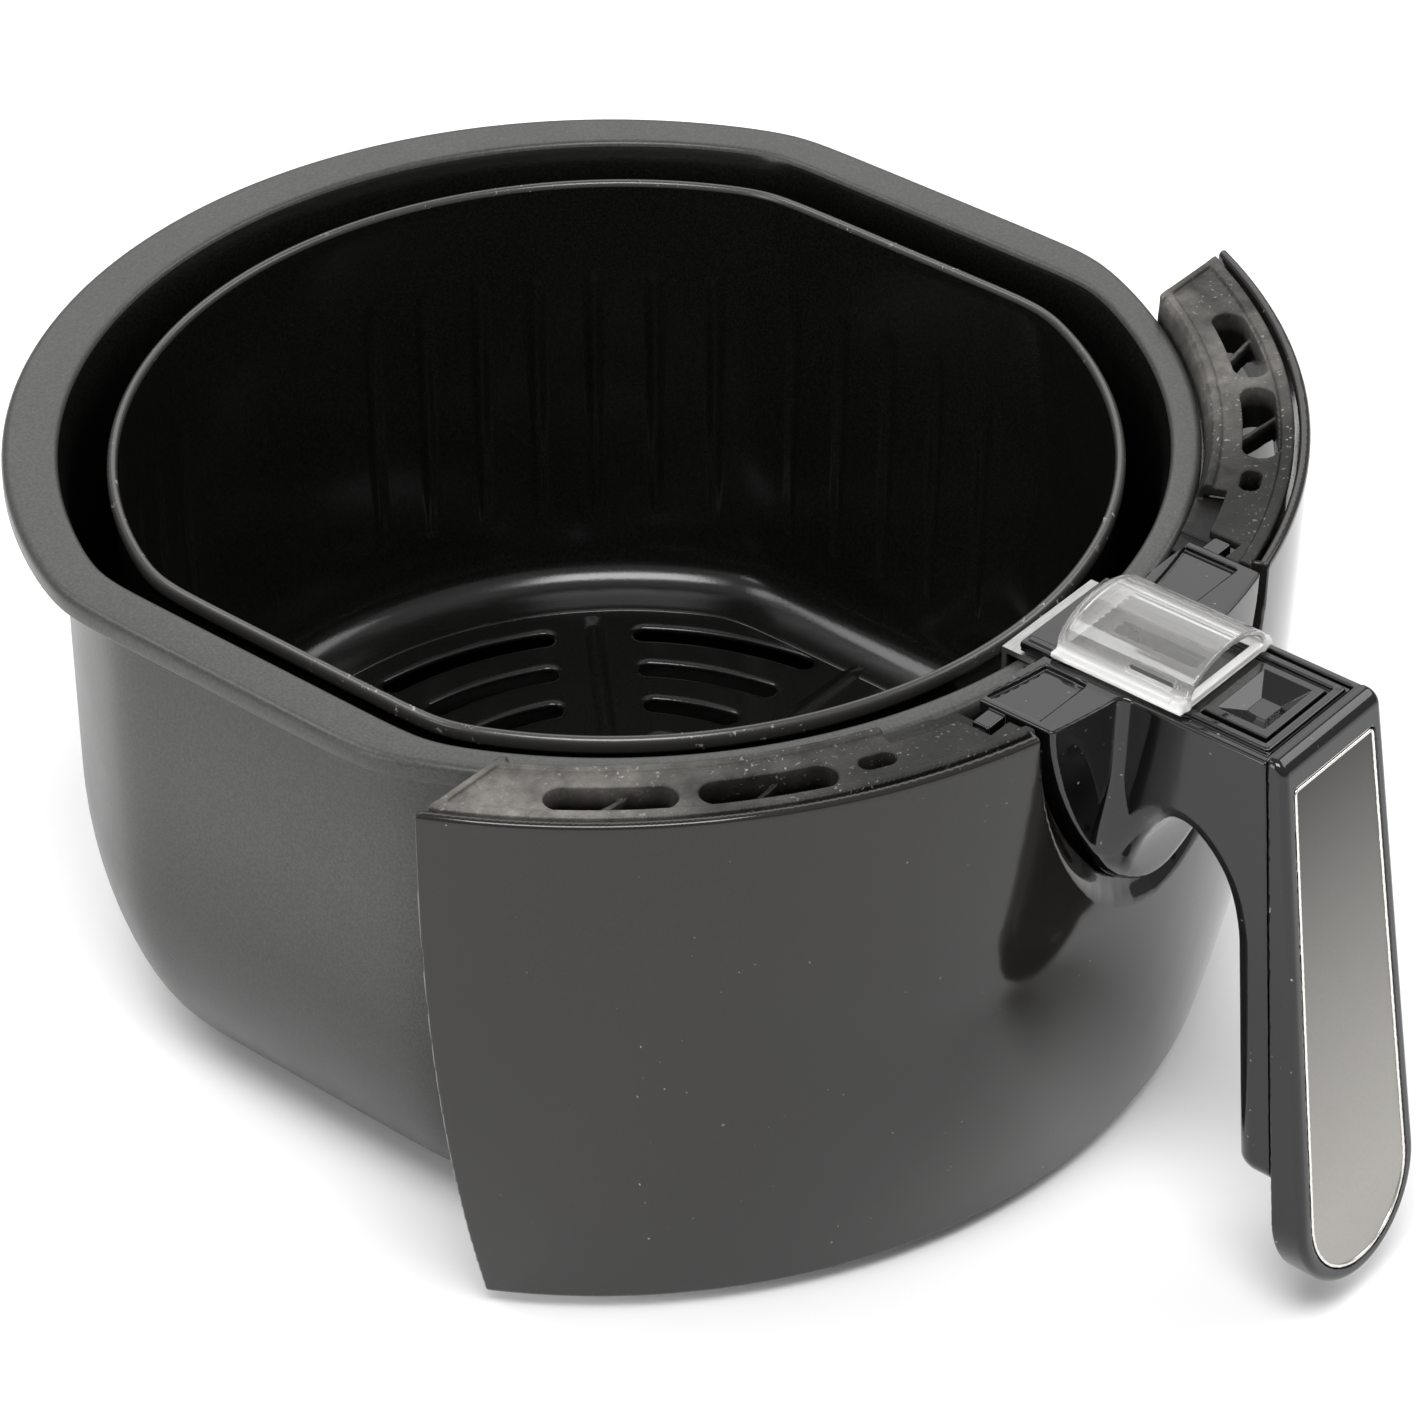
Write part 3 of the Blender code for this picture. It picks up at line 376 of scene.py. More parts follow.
def worn_coating(name):
    """The coating on a rim, with small bright chips where the metal shows."""
    made = Finish(name, (0.02, 0.02, 0.02), 0.28, Specular_IOR_Level=0.6)
    chips = made.ramp(made.noise(520, 4.0, 0.7), 0.62, 0.66)
    patches = made.ramp(made.noise(22, 2.0), 0.50, 0.60)
    chipped = made.node("ShaderNodeMath", operation="MULTIPLY")
    made.set(chipped, 0, chips)
    made.set(chipped, 1, patches)
    made.color(made.mix(chipped.outputs[0], (0.034, 0.033, 0.031, 1), (0.30, 0.29, 0.27, 1)))
    made.roughness(made.between(made.noise(90, 3.0), 0.20, 0.32))
    made.bump(made.noise(300, 3.0), 0.10, 0.0004)
    return made.material


def gloss(name, color, roughness, dusty, specular=0.5):
    """A shiny plastic with a little dust on it."""
    made = Finish(name, color, roughness, Specular_IOR_Level=specular)
    made.color(dust(made, (*color, 1), dusty, scale=700))
    made.roughness(made.between(made.noise(90, 3.0), roughness, roughness + 0.05))
    made.bump(made.noise(120, 2.0), 0.03, 0.0006)
    return made.material


def steel(name):
    """Sheet steel with fine lines drawn along X."""
    made = Finish(name, (0.40, 0.40, 0.39), 0.38, 1.0)
    lines = made.noise(300, 3.0, 0.6, (1, 14, 14))
    made.color(made.ramp(lines, 0.3, 0.7, (0.30, 0.30, 0.29), (0.46, 0.46, 0.45)))
    made.roughness(made.between(lines, 0.32, 0.46))
    made.bump(lines, 0.12, 0.0003)
    return made.material


def matte_plastic():
    """A mottled trim plastic, with painted shade: darker next to the handle's block and deep in the slots."""
    made = Finish("matte_black_plastic", (0.02, 0.02, 0.02), 0.5, Specular_IOR_Level=0.22)
    fine = made.ramp(made.noise(220, 4.0, 0.7), 0.35, 0.72, (0.010, 0.0098, 0.0092), (0.034, 0.033, 0.031))
    grey = made.ramp(made.noise(260, 4.0, 0.7), 0.30, 0.70, (0.040, 0.039, 0.037), (0.095, 0.092, 0.087))
    base = made.mix(made.ramp(made.noise(24, 3.0, 0.6), 0.44, 0.62), fine, grey)
    # Partly painted shade, partly dust: the colour is darkened next to the handle's block and lightened
    # towards the ends.
    middle = made.ramp(made.along("Y", -0.128, -0.088), 0.0, 1.0, (0.22, 0.22, 0.22), (1.95, 1.90, 1.82))
    # Painted shade: the colour falls to near black below the deck's top, deep in the slots.
    painted_slot_shade = made.ramp(made.along("Z", (FLANGE_HEIGHT - 1.0) * MM, (FLANGE_HEIGHT + 3.2) * MM), 0.0, 1.0,
                     (0.06, 0.06, 0.06), (1, 1, 1))
    made.color(made.tinted(dust(made, made.tinted(base, middle), 2.2, scale=1100), painted_slot_shade))
    made.roughness(made.between(made.noise(260, 3.0), 0.40, 0.58))
    made.bump(made.noise(1800, 2.0, 0.6), 0.22, 0.0004)
    return made.material


def inlay_with_painted_reflection():
    """A metallic paint, with a painted reflection that runs from dark at the top to light at the bottom."""
    made = Finish("silver_grey_inlay", (0.30, 0.30, 0.29), 0.3, 0.8)
    height = made.along("Z", FLANGE_HEIGHT * MM - 0.105, FLANGE_HEIGHT * MM)
    # Painted reflection: the colour is dark at the top of the inlay and light at its bottom.
    tone = made.ramp(height, 0.0, 1.0, (0.34, 0.327, 0.305), (0.034, 0.032, 0.030))
    grain = made.ramp(made.noise(2600, 1.0), 0.3, 0.7, (0.92, 0.92, 0.92), (1.0, 1.0, 1.0))
    made.color(made.tinted(tone, grain))
    made.roughness(made.between(made.noise(220, 3.0), 0.26, 0.34))
    made.bump(made.noise(2400, 1.0), 0.04, 0.0002)
    return made.material


def clear_plastic():
    """A clear plastic that is milky along its foot."""
    made = Finish("clear_plastic", (0.96, 0.955, 0.94), 0.03, 0.0, IOR=1.49)
    height = made.along("Z", (FLANGE_HEIGHT + 7.2) * MM, (FLANGE_HEIGHT + 9.0) * MM)
    made.set(made.shader, "Transmission Weight", made.between(height, 0.55, 0.92))
    made.roughness(made.between(made.noise(140, 3.0), 0.01, 0.03))
    made.bump(made.noise(70, 2.0), 0.03, 0.0005)
    return made.material


# The pan's outer coating carries painted shade over its foot.
PAN_COATING_PAINTED_FOOT_SHADE = coating("pan_coating_painted_foot_shade", (0.034, 0.0342, 0.0322), (0.058, 0.058, 0.054), 0.33,
                      specular=0.34, foot=0.12)
# Painted shade: the same coating made about ten times darker for the pan's inside, which lies in shade.
PAN_INSIDE_PAINTED_SHADE = coating("pan_inside_painted_shade_coating", (0.003, 0.003, 0.0027), (0.008, 0.0078, 0.0073), 0.22)
BASKET_COATING = coating("basket_coating", (0.0035, 0.0034, 0.0031), (0.0080, 0.0078, 0.0072), 0.18)
RIM_COATING = worn_coating("rim_coating")
GLOSS_BLACK = gloss("gloss_black_plastic", (0.0040, 0.0040, 0.0039), 0.05, 0.8)
CHARCOAL = gloss("charcoal_panel_plastic", (0.0118, 0.0103, 0.0094), 0.05, 0.5, 0.42)
MATTE_BLACK_PAINTED_SHADE = matte_plastic()
SILVER_PAINTED_REFLECTION = inlay_with_painted_reflection()
CLEAR = clear_plastic()
STEEL = steel("brushed_steel")
BRIGHT_EDGE = Finish("bright_edge", (0.72, 0.70, 0.67), 0.22, 1.0)
BRIGHT_EDGE.roughness(BRIGHT_EDGE.between(BRIGHT_EDGE.noise(300, 3.0), 0.16, 0.28))
BRIGHT_EDGE.bump(BRIGHT_EDGE.noise(900, 2.0), 0.05, 0.0002)
BRIGHT_EDGE = BRIGHT_EDGE.material


def place(obj, body, slot, *replaced):
    """Puts a piece on its body, in place of the CAD nodes that are named. The slot is not used."""
    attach(obj, body)
    if replaced:
        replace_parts(obj, *replaced)
    return obj


# ---- rings of the pan and the basket --------------------------------------------------------------
def cut_reach(angle, radius, flat):
    """How far a circle with two flat sides reaches at an angle, with its corners softened."""
    to_flat = flat / np.maximum(np.abs(np.cos(angle)), 1e-6)
    low = np.minimum(radius, to_flat)
    return low - CORNER * np.log(np.exp((low - radius) / CORNER) + np.exp((low - to_flat) / CORNER))


def ring(angle, radius, flat, centre_y, z):
    """One level loop of a round with two flat sides."""
    reach = cut_reach(angle, radius, flat)
    return np.stack([reach * np.cos(angle), centre_y + reach * np.sin(angle), np.full_like(angle, z)], 1)


def corner_arc(start, corner, end, steps=5):
    """A rounded turn between two points of a section, pulled towards its corner."""
    a, c, b = np.array(start, float), np.array(corner, float), np.array(end, float)
    return [tuple((1 - t) ** 2 * a + 2 * t * (1 - t) * c + t**2 * b) for t in np.linspace(0, 1, steps)]


def build_pan():
    """The pan in one loft: up the outside, round the flange's edge, and down the inside."""
    angle = np.linspace(0, 2 * np.pi, 432, endpoint=False)
    rows = []

    def add(radius, flat, centre, z):
        rows.append(ring(angle, radius, flat, centre, z))

    def wall(skin, upward):
        """The wall and its wide fillet, at skin inside the outer side."""
        made = []
        for degrees in np.linspace(90, 0, 22):
            a = math.radians(degrees)
            inset = (PAN_FILLET_R - skin) * (1 - math.cos(a))
            made.append((WALL_RADIUS - skin - inset, WALL_FLAT - skin - inset,
                         -FLANGE_HEIGHT + skin + (PAN_FILLET_Z - skin) * (1 - math.sin(a))))
        for z in np.linspace(-70, -10, 9):
            made.append((WALL_RADIUS - skin, WALL_FLAT - skin, z))
        for r, flat, z in (made if upward else made[::-1]):
            add(r, flat, WALL_CENTRE_Y, z)

    wall(0, True)
    add(WALL_RADIUS, WALL_FLAT, WALL_CENTRE_Y, -6)
    for t in np.linspace(0, 1, 6):
        add(WALL_RADIUS + 1.6 * t**2, WALL_FLAT + 3.0 * t**2, WALL_CENTRE_Y, -6 + 3.6 * t)
    add(FLANGE_RADIUS - 2.6, FLANGE_FLAT - 2.6, 0, -2.0)
    flange_edge = ((-1.8, -2.2), (-1.5, -2.8), (-1.4, -4.3), (-1.1, -4.75), (-0.7, -4.8), (-0.25, -4.6),
                   (0, -4.2), (0, -1.6), (-0.12, -0.9), (-0.5, -0.35), (-1.1, -0.06), (-1.9, 0))
    for r, z in flange_edge:
        add(FLANGE_RADIUS + r, FLANGE_FLAT + r, 0, z)
    for t in (0.35, 0.7):
        add(FLANGE_RADIUS - 1.9 + t * (WALL_RADIUS + 1.3 - FLANGE_RADIUS + 1.9),
            FLANGE_FLAT - 1.9 + t * (WALL_FLAT - 0.2 - FLANGE_FLAT + 1.9), WALL_CENTRE_Y * t, 0)
    for r, f, z in ((1.3, -0.2, 0), (0.75, -0.7, -0.06), (0.3, -1.1, -0.25), (0.0, -1.4, -0.6)):
        add(WALL_RADIUS + r, WALL_FLAT + f, WALL_CENTRE_Y, z)
    mouth = len(rows)
    for r, f, z in ((-0.2, -1.6, -1.1), (-0.5, -1.8, -2.2), (-1.0, -1.9, -4.0), (-1.6, -2.0, -7.0)):
        add(WALL_RADIUS + r, WALL_FLAT + f, WALL_CENTRE_Y, z)
    wall(PAN_SKIN, False)
    rings = np.array(rows)
    centre = np.array([0, WALL_CENTRE_Y, 0])
    caps = []
    for index, sign in ((0, 1), (-1, -1)):
        base = rings[index]
        caps.append([base * (t, t, 1) + centre * (1 - t) * (1, 1, 0) for t in (0.02, 0.3, 0.7)])
    rings = np.concatenate([np.array(caps[0]), rings, np.array(caps[1])[::-1]])
    # The inside rows take the darker copy of the coating as painted shade.
    shaded_inner_rows = range(mouth + len(caps[0]), len(rings))
    shell = loft("pan_shell", rings, PAN_COATING_PAINTED_FOOT_SHADE, closed=False, second=PAN_INSIDE_PAINTED_SHADE, second_rows=shaded_inner_rows)
    return place(shell, "pan", "coating", "pan")


def rib_lines():
    """Where the basket's pressed grooves stand: points on the ring as (x, y)."""
    spots = []
    for degrees in (118, 125.7, 133.4, 140.8, 148.1, 155.5, 162.8):
        a = math.radians(degrees)
        spots += [(s * BASKET_RADIUS * math.sin(a), BASKET_CENTRE_Y - BASKET_RADIUS * math.cos(a))
                  for s in (-1, 1)]
    for y in (26.4, 12.4, -1.4, -15.2, -28.6):
        spots += [(s * BASKET_FLAT, y) for s in (-1, 1)]
    return spots


def build_basket():
    """The basket's wall, with its rolled bead and the upright grooves pressed into it."""
    angle = np.linspace(0, 2 * np.pi, 1080, endpoint=False)
    skin, floor = BASKET_SKIN, BASKET_FLOOR

    def section(depth):
        """The wall as (inset, z) from the floor's edge up, for the inner or the outer skin."""
        low = floor - depth
        edge = 0.0 if depth else 1.0
        points = [(14.6, low - 0.35 * edge), (14.1, low - 0.08 * edge), (13.4, low)]
        points += corner_arc((11.6, low), (0.8, low), (0.5, low + 10.5), 20)
        wall = [*np.linspace(floor + 11.5, -98.6, 3), *np.arange(-98.2, -88.5, 0.42),
                *np.linspace(-88, -42, 14), *np.linspace(-40, -22, 13),
                *np.linspace(-20, BASKET_TOP - 4.4, 6)]
        points += [(0.5 * (BASKET_TOP - z) / (BASKET_TOP - floor), z) for z in wall]
        return [(inset + (0 if depth else skin), z) for inset, z in points]

    outer, inner = section(skin), section(0)
    roll = ((-0.2, -4.0), (-0.85, -3.6), (-1.1, -2.8), (-1.15, -1.4), (-1.0, -0.7), (-0.6, -0.2),
            (0.0, 0), (0.6, -0.1), (1.0, -0.5), (1.15, -1.2))
    bead = [(inset, BASKET_TOP + z) for inset, z in roll]
    rows = []
    spots = np.array(rib_lines())
    for inset, z in outer + bead + inner[::-1]:
        inset += BASKET_DRAFT * (BASKET_TOP - z) / 110
        base = ring(angle, BASKET_RADIUS - inset, BASKET_FLAT - inset, BASKET_CENTRE_Y, z)
        across = np.min(np.hypot(base[:, :1] - spots[:, 0], base[:, 1:2] - spots[:, 1]), axis=1)
        away = np.hypot(across, max(0.0, z - GROOVE_TOP, GROOVE_BOTTOM - z))
        press = GROOVE_DEPTH * fade(-away, -3.1, -0.9) * (0.3 + 0.7 * fade(-z, 30, 56))
        out = base - (0, BASKET_CENTRE_Y, z)
        unit = np.where(np.abs(base[:, :1]) > BASKET_FLAT - 4, [[1.0, 0, 0]] * np.sign(base[:, :1]),
                        out / np.linalg.norm(out, axis=1, keepdims=True))
        rows.append(base + unit * press[:, None])
    rim = range(len(outer), len(outer) + len(bead) - 1)
    wall = loft("basket_wall", np.array(rows), BASKET_COATING, second=RIM_COATING, second_rows=rim)
    return place(wall, "basket", "coating", "basket")


def build_basket_floor():
    """The floor's disc: slots with a sunk edge, between spokes that stand up a little."""
    sector = 2 * np.pi / SLOT_SECTORS

    def field(p):
        x, y, z = p[0], p[1] - BASKET_CENTRE_Y, p[2]
        radius, angle = np.hypot(x, y), np.arctan2(x, -y)
        within = np.abs((angle + 8 * np.pi) % sector - sector / 2)
        spoke = radius * np.sin(sector / 2 - within)
        rim = both(radius - (BASKET_RADIUS - 10.5), np.abs(x) - (BASKET_FLAT - 10.5), 2.0)
        slots = 1e3
        for r in SLOT_RADII:
            half_arc = sector / 2 - np.arcsin(SLOT_TO_SPOKE / r)
            along = np.maximum(within - half_arc, 0) * r
            slots = np.minimum(slots, np.hypot(along, radius - r) - SLOT_HALF)
        lip = -0.5 * np.clip(1 - slots / 1.6, 0, 1) ** 2
        rib = 0.9 * np.clip(1 - (spoke / 2.4) ** 2, 0, 1) ** 1.5 * np.clip((radius - 14) / 6, 0, 1) \
            * np.clip((88 - radius) / 5, 0, 1)
        hub = 0.7 * np.clip(1 - ((radius - 22) / 3.0) ** 2, 0, 1) ** 1.5
        top = BASKET_FLOOR - 0.2 + lip + np.maximum(rib, hub)
        slab = both(z - top, top - BASKET_SKIN - z, 0.3)
        return both(without(slab, slots, 0.4), rim)

    reach = BASKET_RADIUS - 8
    made = surface("basket_floor", field, (-reach, BASKET_CENTRE_Y - reach, BASKET_FLOOR - 3),
                   (reach, BASKET_CENTRE_Y + reach, BASKET_FLOOR + 3), 0.62, BASKET_COATING)
    return place(made, "basket", "coating")


# ---- front panel and bezels -----------------------------------------------------------------------
def panel_radius(z):
    """The panel's outer radius: upright at the top, and tucked in more and more towards the bottom."""
    return PANEL_RADIUS - PANEL_TUCK * np.clip(z / PANEL_BOTTOM, 0, 2) ** PANEL_TUCK_POWER


def shield_outline():
    """The front outline of the handle's block."""
    curve = [(BLOCK_HALF * math.cos(a) ** 1.24, BLOCK_TOP - BLOCK_DEPTH * math.sin(a) ** 1.25)
             for a in (math.radians(90 * i / 16) for i in range(16))]
    half = [(BLOCK_HALF, BLOCK_TOP + 25), *curve, (0, BLOCK_TOP - BLOCK_DEPTH)]
    return half + [(-x, z) for x, z in half[-2::-1]]


def scoop_outline():
    """The outer edge of the hollow in the panel round the block."""
    curve = [(SCOOP_HALF * (1 - t * t) ** 0.52, BLOCK_TOP - (SCOOP_DEPTH + BLOCK_TOP) * t)
             for t in np.linspace(0, 0.97, 15) ** 0.8]
    half = [(SCOOP_HALF, BLOCK_TOP + 25), *curve, (0, -SCOOP_DEPTH)]
    return half + [(-x, z) for x, z in half[-2::-1]]


SHIELD, SCOOP = shield_outline(), scoop_outline()


def build_panel():
    """The curved front, with the hollow round the handle's block and four screw posts behind."""
    bosses = [(side * BOSS_ANGLE, z) for side in (-1, 1) for z in BOSS_HEIGHTS]

    def field(p):
        x, y, z = p
        radius = np.hypot(x, y)
        block_edge = polygon(x, z, SHIELD) - 1.7
        rim = polygon(x, z, SCOOP)
        band = np.clip(-rim / np.maximum(block_edge - rim, 0.5), 0, 1)
        skin_at = panel_radius(z) - SCOOP_INSET * band**2 * (3 - 2 * band)
        front = radius - skin_at
        shell = both(front, skin_at - PANEL_SKIN - radius, 0.5)
        shell = both(shell, z - PANEL_TOP, 1.0)
        shell = both(shell, PANEL_BOTTOM - z, 0.8)
        shell = both(shell, y - PANEL_BACK_Y, 0.8)
        shell = without(shell, np.maximum(block_edge, y + 100), 0.6)
        for angle, height in bosses:
            sx, sy = math.sin(angle), -math.cos(angle)
            along = x * sx + y * sy
            off = np.hypot(x - along * sx, y - along * sy)
            post = both(np.hypot(off, z - height) - 3.8, 143.8 - along, 0.3)
            shell = either(shell, np.maximum(post, along - panel_radius(z) + 1.0), 0.6)
        return shell

    made = surface("front_panel_skin", field, (-134.5, -151, PANEL_BOTTOM - 1), (134.5, -65, 6.2), 0.8,
                   CHARCOAL)
    return place(made, "pan", "charcoal_gloss", "front_panel")


BEZEL_SECTION = [(127.4, -10), (127.4, -0.4), (128.3, 3.4), (129.0, 4.5), (130.0, 4.8), (130.7, 4.6),
                 (131.2, 4.0), (143.1, 4.0), (143.5, 4.7), (144.2, 4.95), (145.6, 4.95), (146.1, 4.6),
                 (146.1, 3.0), (145.3, 2.4), (145.3, -10), (143.6, -10), (143.6, 1.9), (129.4, 1.9),
                 (129.2, -10)]


def arc_slot(radius, angle, far, near, r, half_width):
    """Distance from an arched slot between two angles, in degrees from -Y."""
    far, near = math.radians(far), math.radians(near)
    pad = half_width / r
    middle, half = (far + near) / 2, abs(far - near) / 2 - pad
    along = np.maximum(np.abs(angle - middle) - half, 0) * r
    return np.hypot(along, radius - r) - half_width


def build_bezel(side, word):
    """One trim between flange and panel: a channel with two long air slots and a short one."""
    def field(p):
        x, y, z = p[0] * side, p[1], p[2]
        radius, angle = np.hypot(x, y), np.arctan2(x, -y)
        body = polygon(radius, z, BEZEL_SECTION)
        notch = both(both(angle * radius - math.radians(25.0) * radius, radius - 134.0, 0.5), 0.9 - z, 0.3)
        body = without(body, notch, 0.3)
        shelf = both(both(angle * radius - math.radians(25.6) * radius, between(radius, 127.4, 134.8), 0.2),
                     between(z, -1.2, 0.9), 0.3)
        body = either(body, shelf, 0.2)
        end_wall = block((radius, y, z), (127.6, 146.0), (PANEL_BACK_Y - 1.8, PANEL_BACK_Y - 0.2),
                         (-4, 5.1), 0.4)
        body = either(body, end_wall, 0.6)
        vents = [arc_slot(radius, angle, far, near, VENT_RADIUS, VENT_HALF) for far, near in VENT_SPANS]
        vents.append(arc_slot(radius, angle, 28.6, 25.4, 138.2, 2.1))
        for vent in vents:
            body = either(body, both(vent - 1.1, between(z, -6.5, 3.0), 0.2), 0.2)
        for vent in vents:
            body = without(body, np.maximum(vent, z - 8), 0.35)
        for middle in (49.6, 37.2):
            a = math.radians(middle)
            mx, my = VENT_RADIUS * math.sin(a), -VENT_RADIUS * math.cos(a)
            tilt = a + math.radians(48)
            across = (x - mx) * math.cos(tilt) + (y - my) * math.sin(tilt)
            along = -(x - mx) * math.sin(tilt) + (y - my) * math.cos(tilt)
            fin = both(both(np.abs(across) - 0.5, np.abs(along) - 6.5), between(z, -4.0, 1.0), 0.2)
            body = either(body, fin)
        body = both(body, y - PANEL_BACK_Y + 0.2, 0.5)
        pocket = block((x, y, z), (20, 42.2), (-135.0, -110), (0.2, 20), 0.3)
        body = without(body, np.minimum(pocket, x - BLOCK_HALF - 0.8), 0.3)
        return body

    low, high = sorted((side * 34, side * 133.5))
    made = surface(f"bezel_{word}_trim", field, (low, -147, -10.8), (high, -66, 6.0), 0.5, MATTE_BLACK_PAINTED_SHADE)
    return place(made, "pan", "matte_black", f"bezel_{word}")


# ---- handle ---------------------------------------------------------------------------------------
PARTING = smooth([(-181.3, 9.0), (-182.8, -3), (-187.5, -48), (-192.0, -90), (-196.2, -126.0)], 6)
UNDERSIDE = smooth([(-147.2, -46), (-148.7, -40.5), (-150.8, -34.5), (-153.6, -28.4), (-157.0, -23.2),
                    (-161.5, -20.2), (-167.0, -21.5), (-173.2, -27.8),
                    (-176.8, -37), (-178.5, -50), (-183.0, -94), (-185.2, -109.0), (-188.2, -119.0),
                    (-192.5, -125.5)], 5)
IN_FRONT = [(-130, -46), *UNDERSIDE, (-200, -140), (-240, -140), (-240, 60), (-130, 60)]


def parting_y(z):
    """Where the two halves of the handle meet, at a height."""
    heights = [z for _, z in reversed(PARTING)]
    return np.interp(z, heights, [y for y, _ in reversed(PARTING)])


def handle_front(z):
    """How far forward the handle's front face lies, at a height."""
    return -186.8 + 0.143 * z


def handle_outline(x, z, border=0.0):
    """The handle from the front: a long taper that ends in a round."""
    down = (ARM_TOP + 3 - z) / (ARM_TOP + 3 - GRIP_ROUND_Z)
    half = ARM_TOP_HALF + (GRIP_HALF - ARM_TOP_HALF) * down - border
    return np.where(z > GRIP_ROUND_Z, np.abs(x) - half, np.hypot(x, z - GRIP_ROUND_Z) - GRIP_HALF + border)


def grip_back(z):
    """How far back the grip's inner face lies, at a height."""
    return -178.5 - (-50 - z) * (4.5 / 44)


def build_handle_body():
    """The block, the arm and the inner half of the grip."""
    def field(p):
        x, y, z = p
        radius = np.hypot(x, y)
        face = panel_radius(z) - 0.6
        base = both(both(radius - face, polygon(x, z, SHIELD), 0.9), z - BLOCK_TOP, 0.6)
        base = both(base, BLOCK_BACK_RADIUS - radius, 0.4)
        recess = block((np.abs(x), y, z), (17.8, 33.4), (-140.2, -100), (BLOCK_TOP - 1.2, 20), 0.4)
        base = without(base, both(recess, 131.4 - radius, 0.4), 0.4)
        tab = block((np.abs(x), y, z), (BLOCK_HALF - 2, 41.0), (-133.5, -129.4), (0.8, 4.0), 0.3)
        base = either(base, tab, 0.3)

        arm = both(polygon(y, z, IN_FRONT), handle_outline(x, z), 1.0 + 4.2 * fade(-z, 2, 18))
        root = polygon(x, z, SHIELD) - 50 * fade(z, -34, -16) - 50 * fade(-y, 156, 163)
        arm = both(arm, root, 3.0)
        arm = both(arm, z - ARM_TOP, 0.7)
        arm = both(arm, y + 139.0)
        body = either(base, arm, 2.4 + 3.4 * fade(-z, 12, 30))
        body = both(body, z - BLOCK_TOP, 0.4)
        body = both(body, parting_y(z) + 0.12 - y, 0.35)

        seat = block(p, (-PLATE_HALF - 0.3, PLATE_HALF + 0.3), (PLATE_FRONT - 0.3, -120), (3.1, 30), 0.2)
        body = without(body, seat, 0.3)
        button_well = block(p, (-12, 12), (-179.2, -130), (-17.5, 30))
        latch_shaft = block(p, (-7, 7), (-144.5, -131), (-60, 30))
        latch_back = block(p, (-7, 7), (-140, -120), (-60, -12))
        bracket_slot = block(p, (-15.4, 15.4), (-135, -120), (0.5, 30))
        for cut in (button_well, latch_shaft, latch_back, bracket_slot):
            body = without(body, cut, 0.2)
        for height in HANDLE_SCREW_HEIGHTS:
            back = grip_back(height)
            bore = np.hypot(x, z - height)
            body = without(body, both(bore - 3.2, between(y, back - 3.0, back + 8)), 0.3)
            body = without(body, both(bore - 1.6, between(y, back - 30, back + 8)), 0.1)
        return body

    made = surface("handle_inner_shell", field, (-42, -197.5, -126), (42, -127, 6), 0.5, GLOSS_BLACK)
    return place(made, "basket", "gloss_black", "handle_body")


def build_handle_shell():
    """The outer half of the grip, with a pocket for the inlay."""
    top = ARM_TOP + 0.8

    def field(p):
        x, y, z = p
        front = (handle_front(z) - y) * 0.99
        shell = both(front, z - top, 3.0)
        shell = both(shell, handle_outline(x, z), 1.7)
        shell = both(shell, y - parting_y(z) + 0.12, 0.35)
        pocket = both(inlay_outline(x, z, 0), front - 2.0)
        pocket = both(pocket, -(front + 1.9), 0.1)
        shell = without(shell, pocket, 0.25)
        for height in HANDLE_SCREW_HEIGHTS:
            bore = np.hypot(x, z - height)
            back = grip_back(height)
            shell = without(shell, both(bore - 1.6, between(y, back - 13.5, back + 8)), 0.1)
        return shell

    made = surface("handle_front_shell", field, (-22, -206, -126), (22, -180, 6.4), 0.45, GLOSS_BLACK)
    return place(made, "basket", "gloss_black", "handle_outer_shell")


def inlay_outline(x, z, shrink):
    """The inlay from the front, drawn in by shrink."""
    return both(handle_outline(x, z, INLAY_BORDER + shrink), z + 1.2 + shrink, 1.2)


def build_inlay():
    """The inlay's sheet and the thin bright line round it."""
    def field(p):
        x, y, z = p
        front = (handle_front(z) - y) * 0.99
        plate = both(inlay_outline(x, z, 0.6), front + 0.25, 0.3)
        return both(plate, -front - 1.7, 0.2)

    def edge_field(p):
        x, y, z = p
        front = (handle_front(z) - y) * 0.99
        line = np.abs(inlay_outline(x, z, 0.3) + 0.35) - 0.36
        return both(both(line, front - 0.03, 0.2), -front - 0.9)

    low, high = (-19, -205.5, -123), (19, -184, 0)
    made = surface("handle_silver_inlay", field, low, high, 0.45, SILVER_PAINTED_REFLECTION)
    place(made, "basket", "silver_grey", "handle_inlay")
    edge = surface("handle_inlay_edge", edge_field, low, high, 0.3, BRIGHT_EDGE)
    place(edge, "basket", "silver_grey")


def build_top_plate():
    """The plate on the arm: two rails for the cover, a bar in front, and the button's opening."""
    def field(p):
        across = (-PLATE_HALF, PLATE_HALF)
        plate = block(p, across, (PLATE_FRONT, PLATE_BACK), (3.4, 4.2), 0.2)
        plate = either(plate, block(p, across, (-129.0, PLATE_BACK), (2.4, 4.8), 0.4), 0.3)
        plate = without(plate, block(p, (0.5, 5.0), (-153.0, -133.0), (2.9, 9.0), 0.5), 0.4)
        for side in (-1, 1):
            rail = block(p, sorted((side * 11.5, side * 13.4)), (-179.8, -122.0), (3.6, RAIL_TOP), 0.4)
            plate = either(plate, rail, 0.2)
        bar = block(p, (-13.2, 13.2), (-180.2, -178.2), (3.6, RAIL_TOP), 0.4)
        plate = either(plate, bar, 0.2)
        return without(plate, block(p, (-10.5, 10.5), (-177.8, -162.2), (-5, 30), 0.3), 0.25)

    made = surface("top_plate_with_rails", field, (-15.2, -181.2, 1.8), (15.2, -120.5, 5.6), 0.28,
                   GLOSS_BLACK)
    return place(made, "basket", "gloss_black", "top_plate")


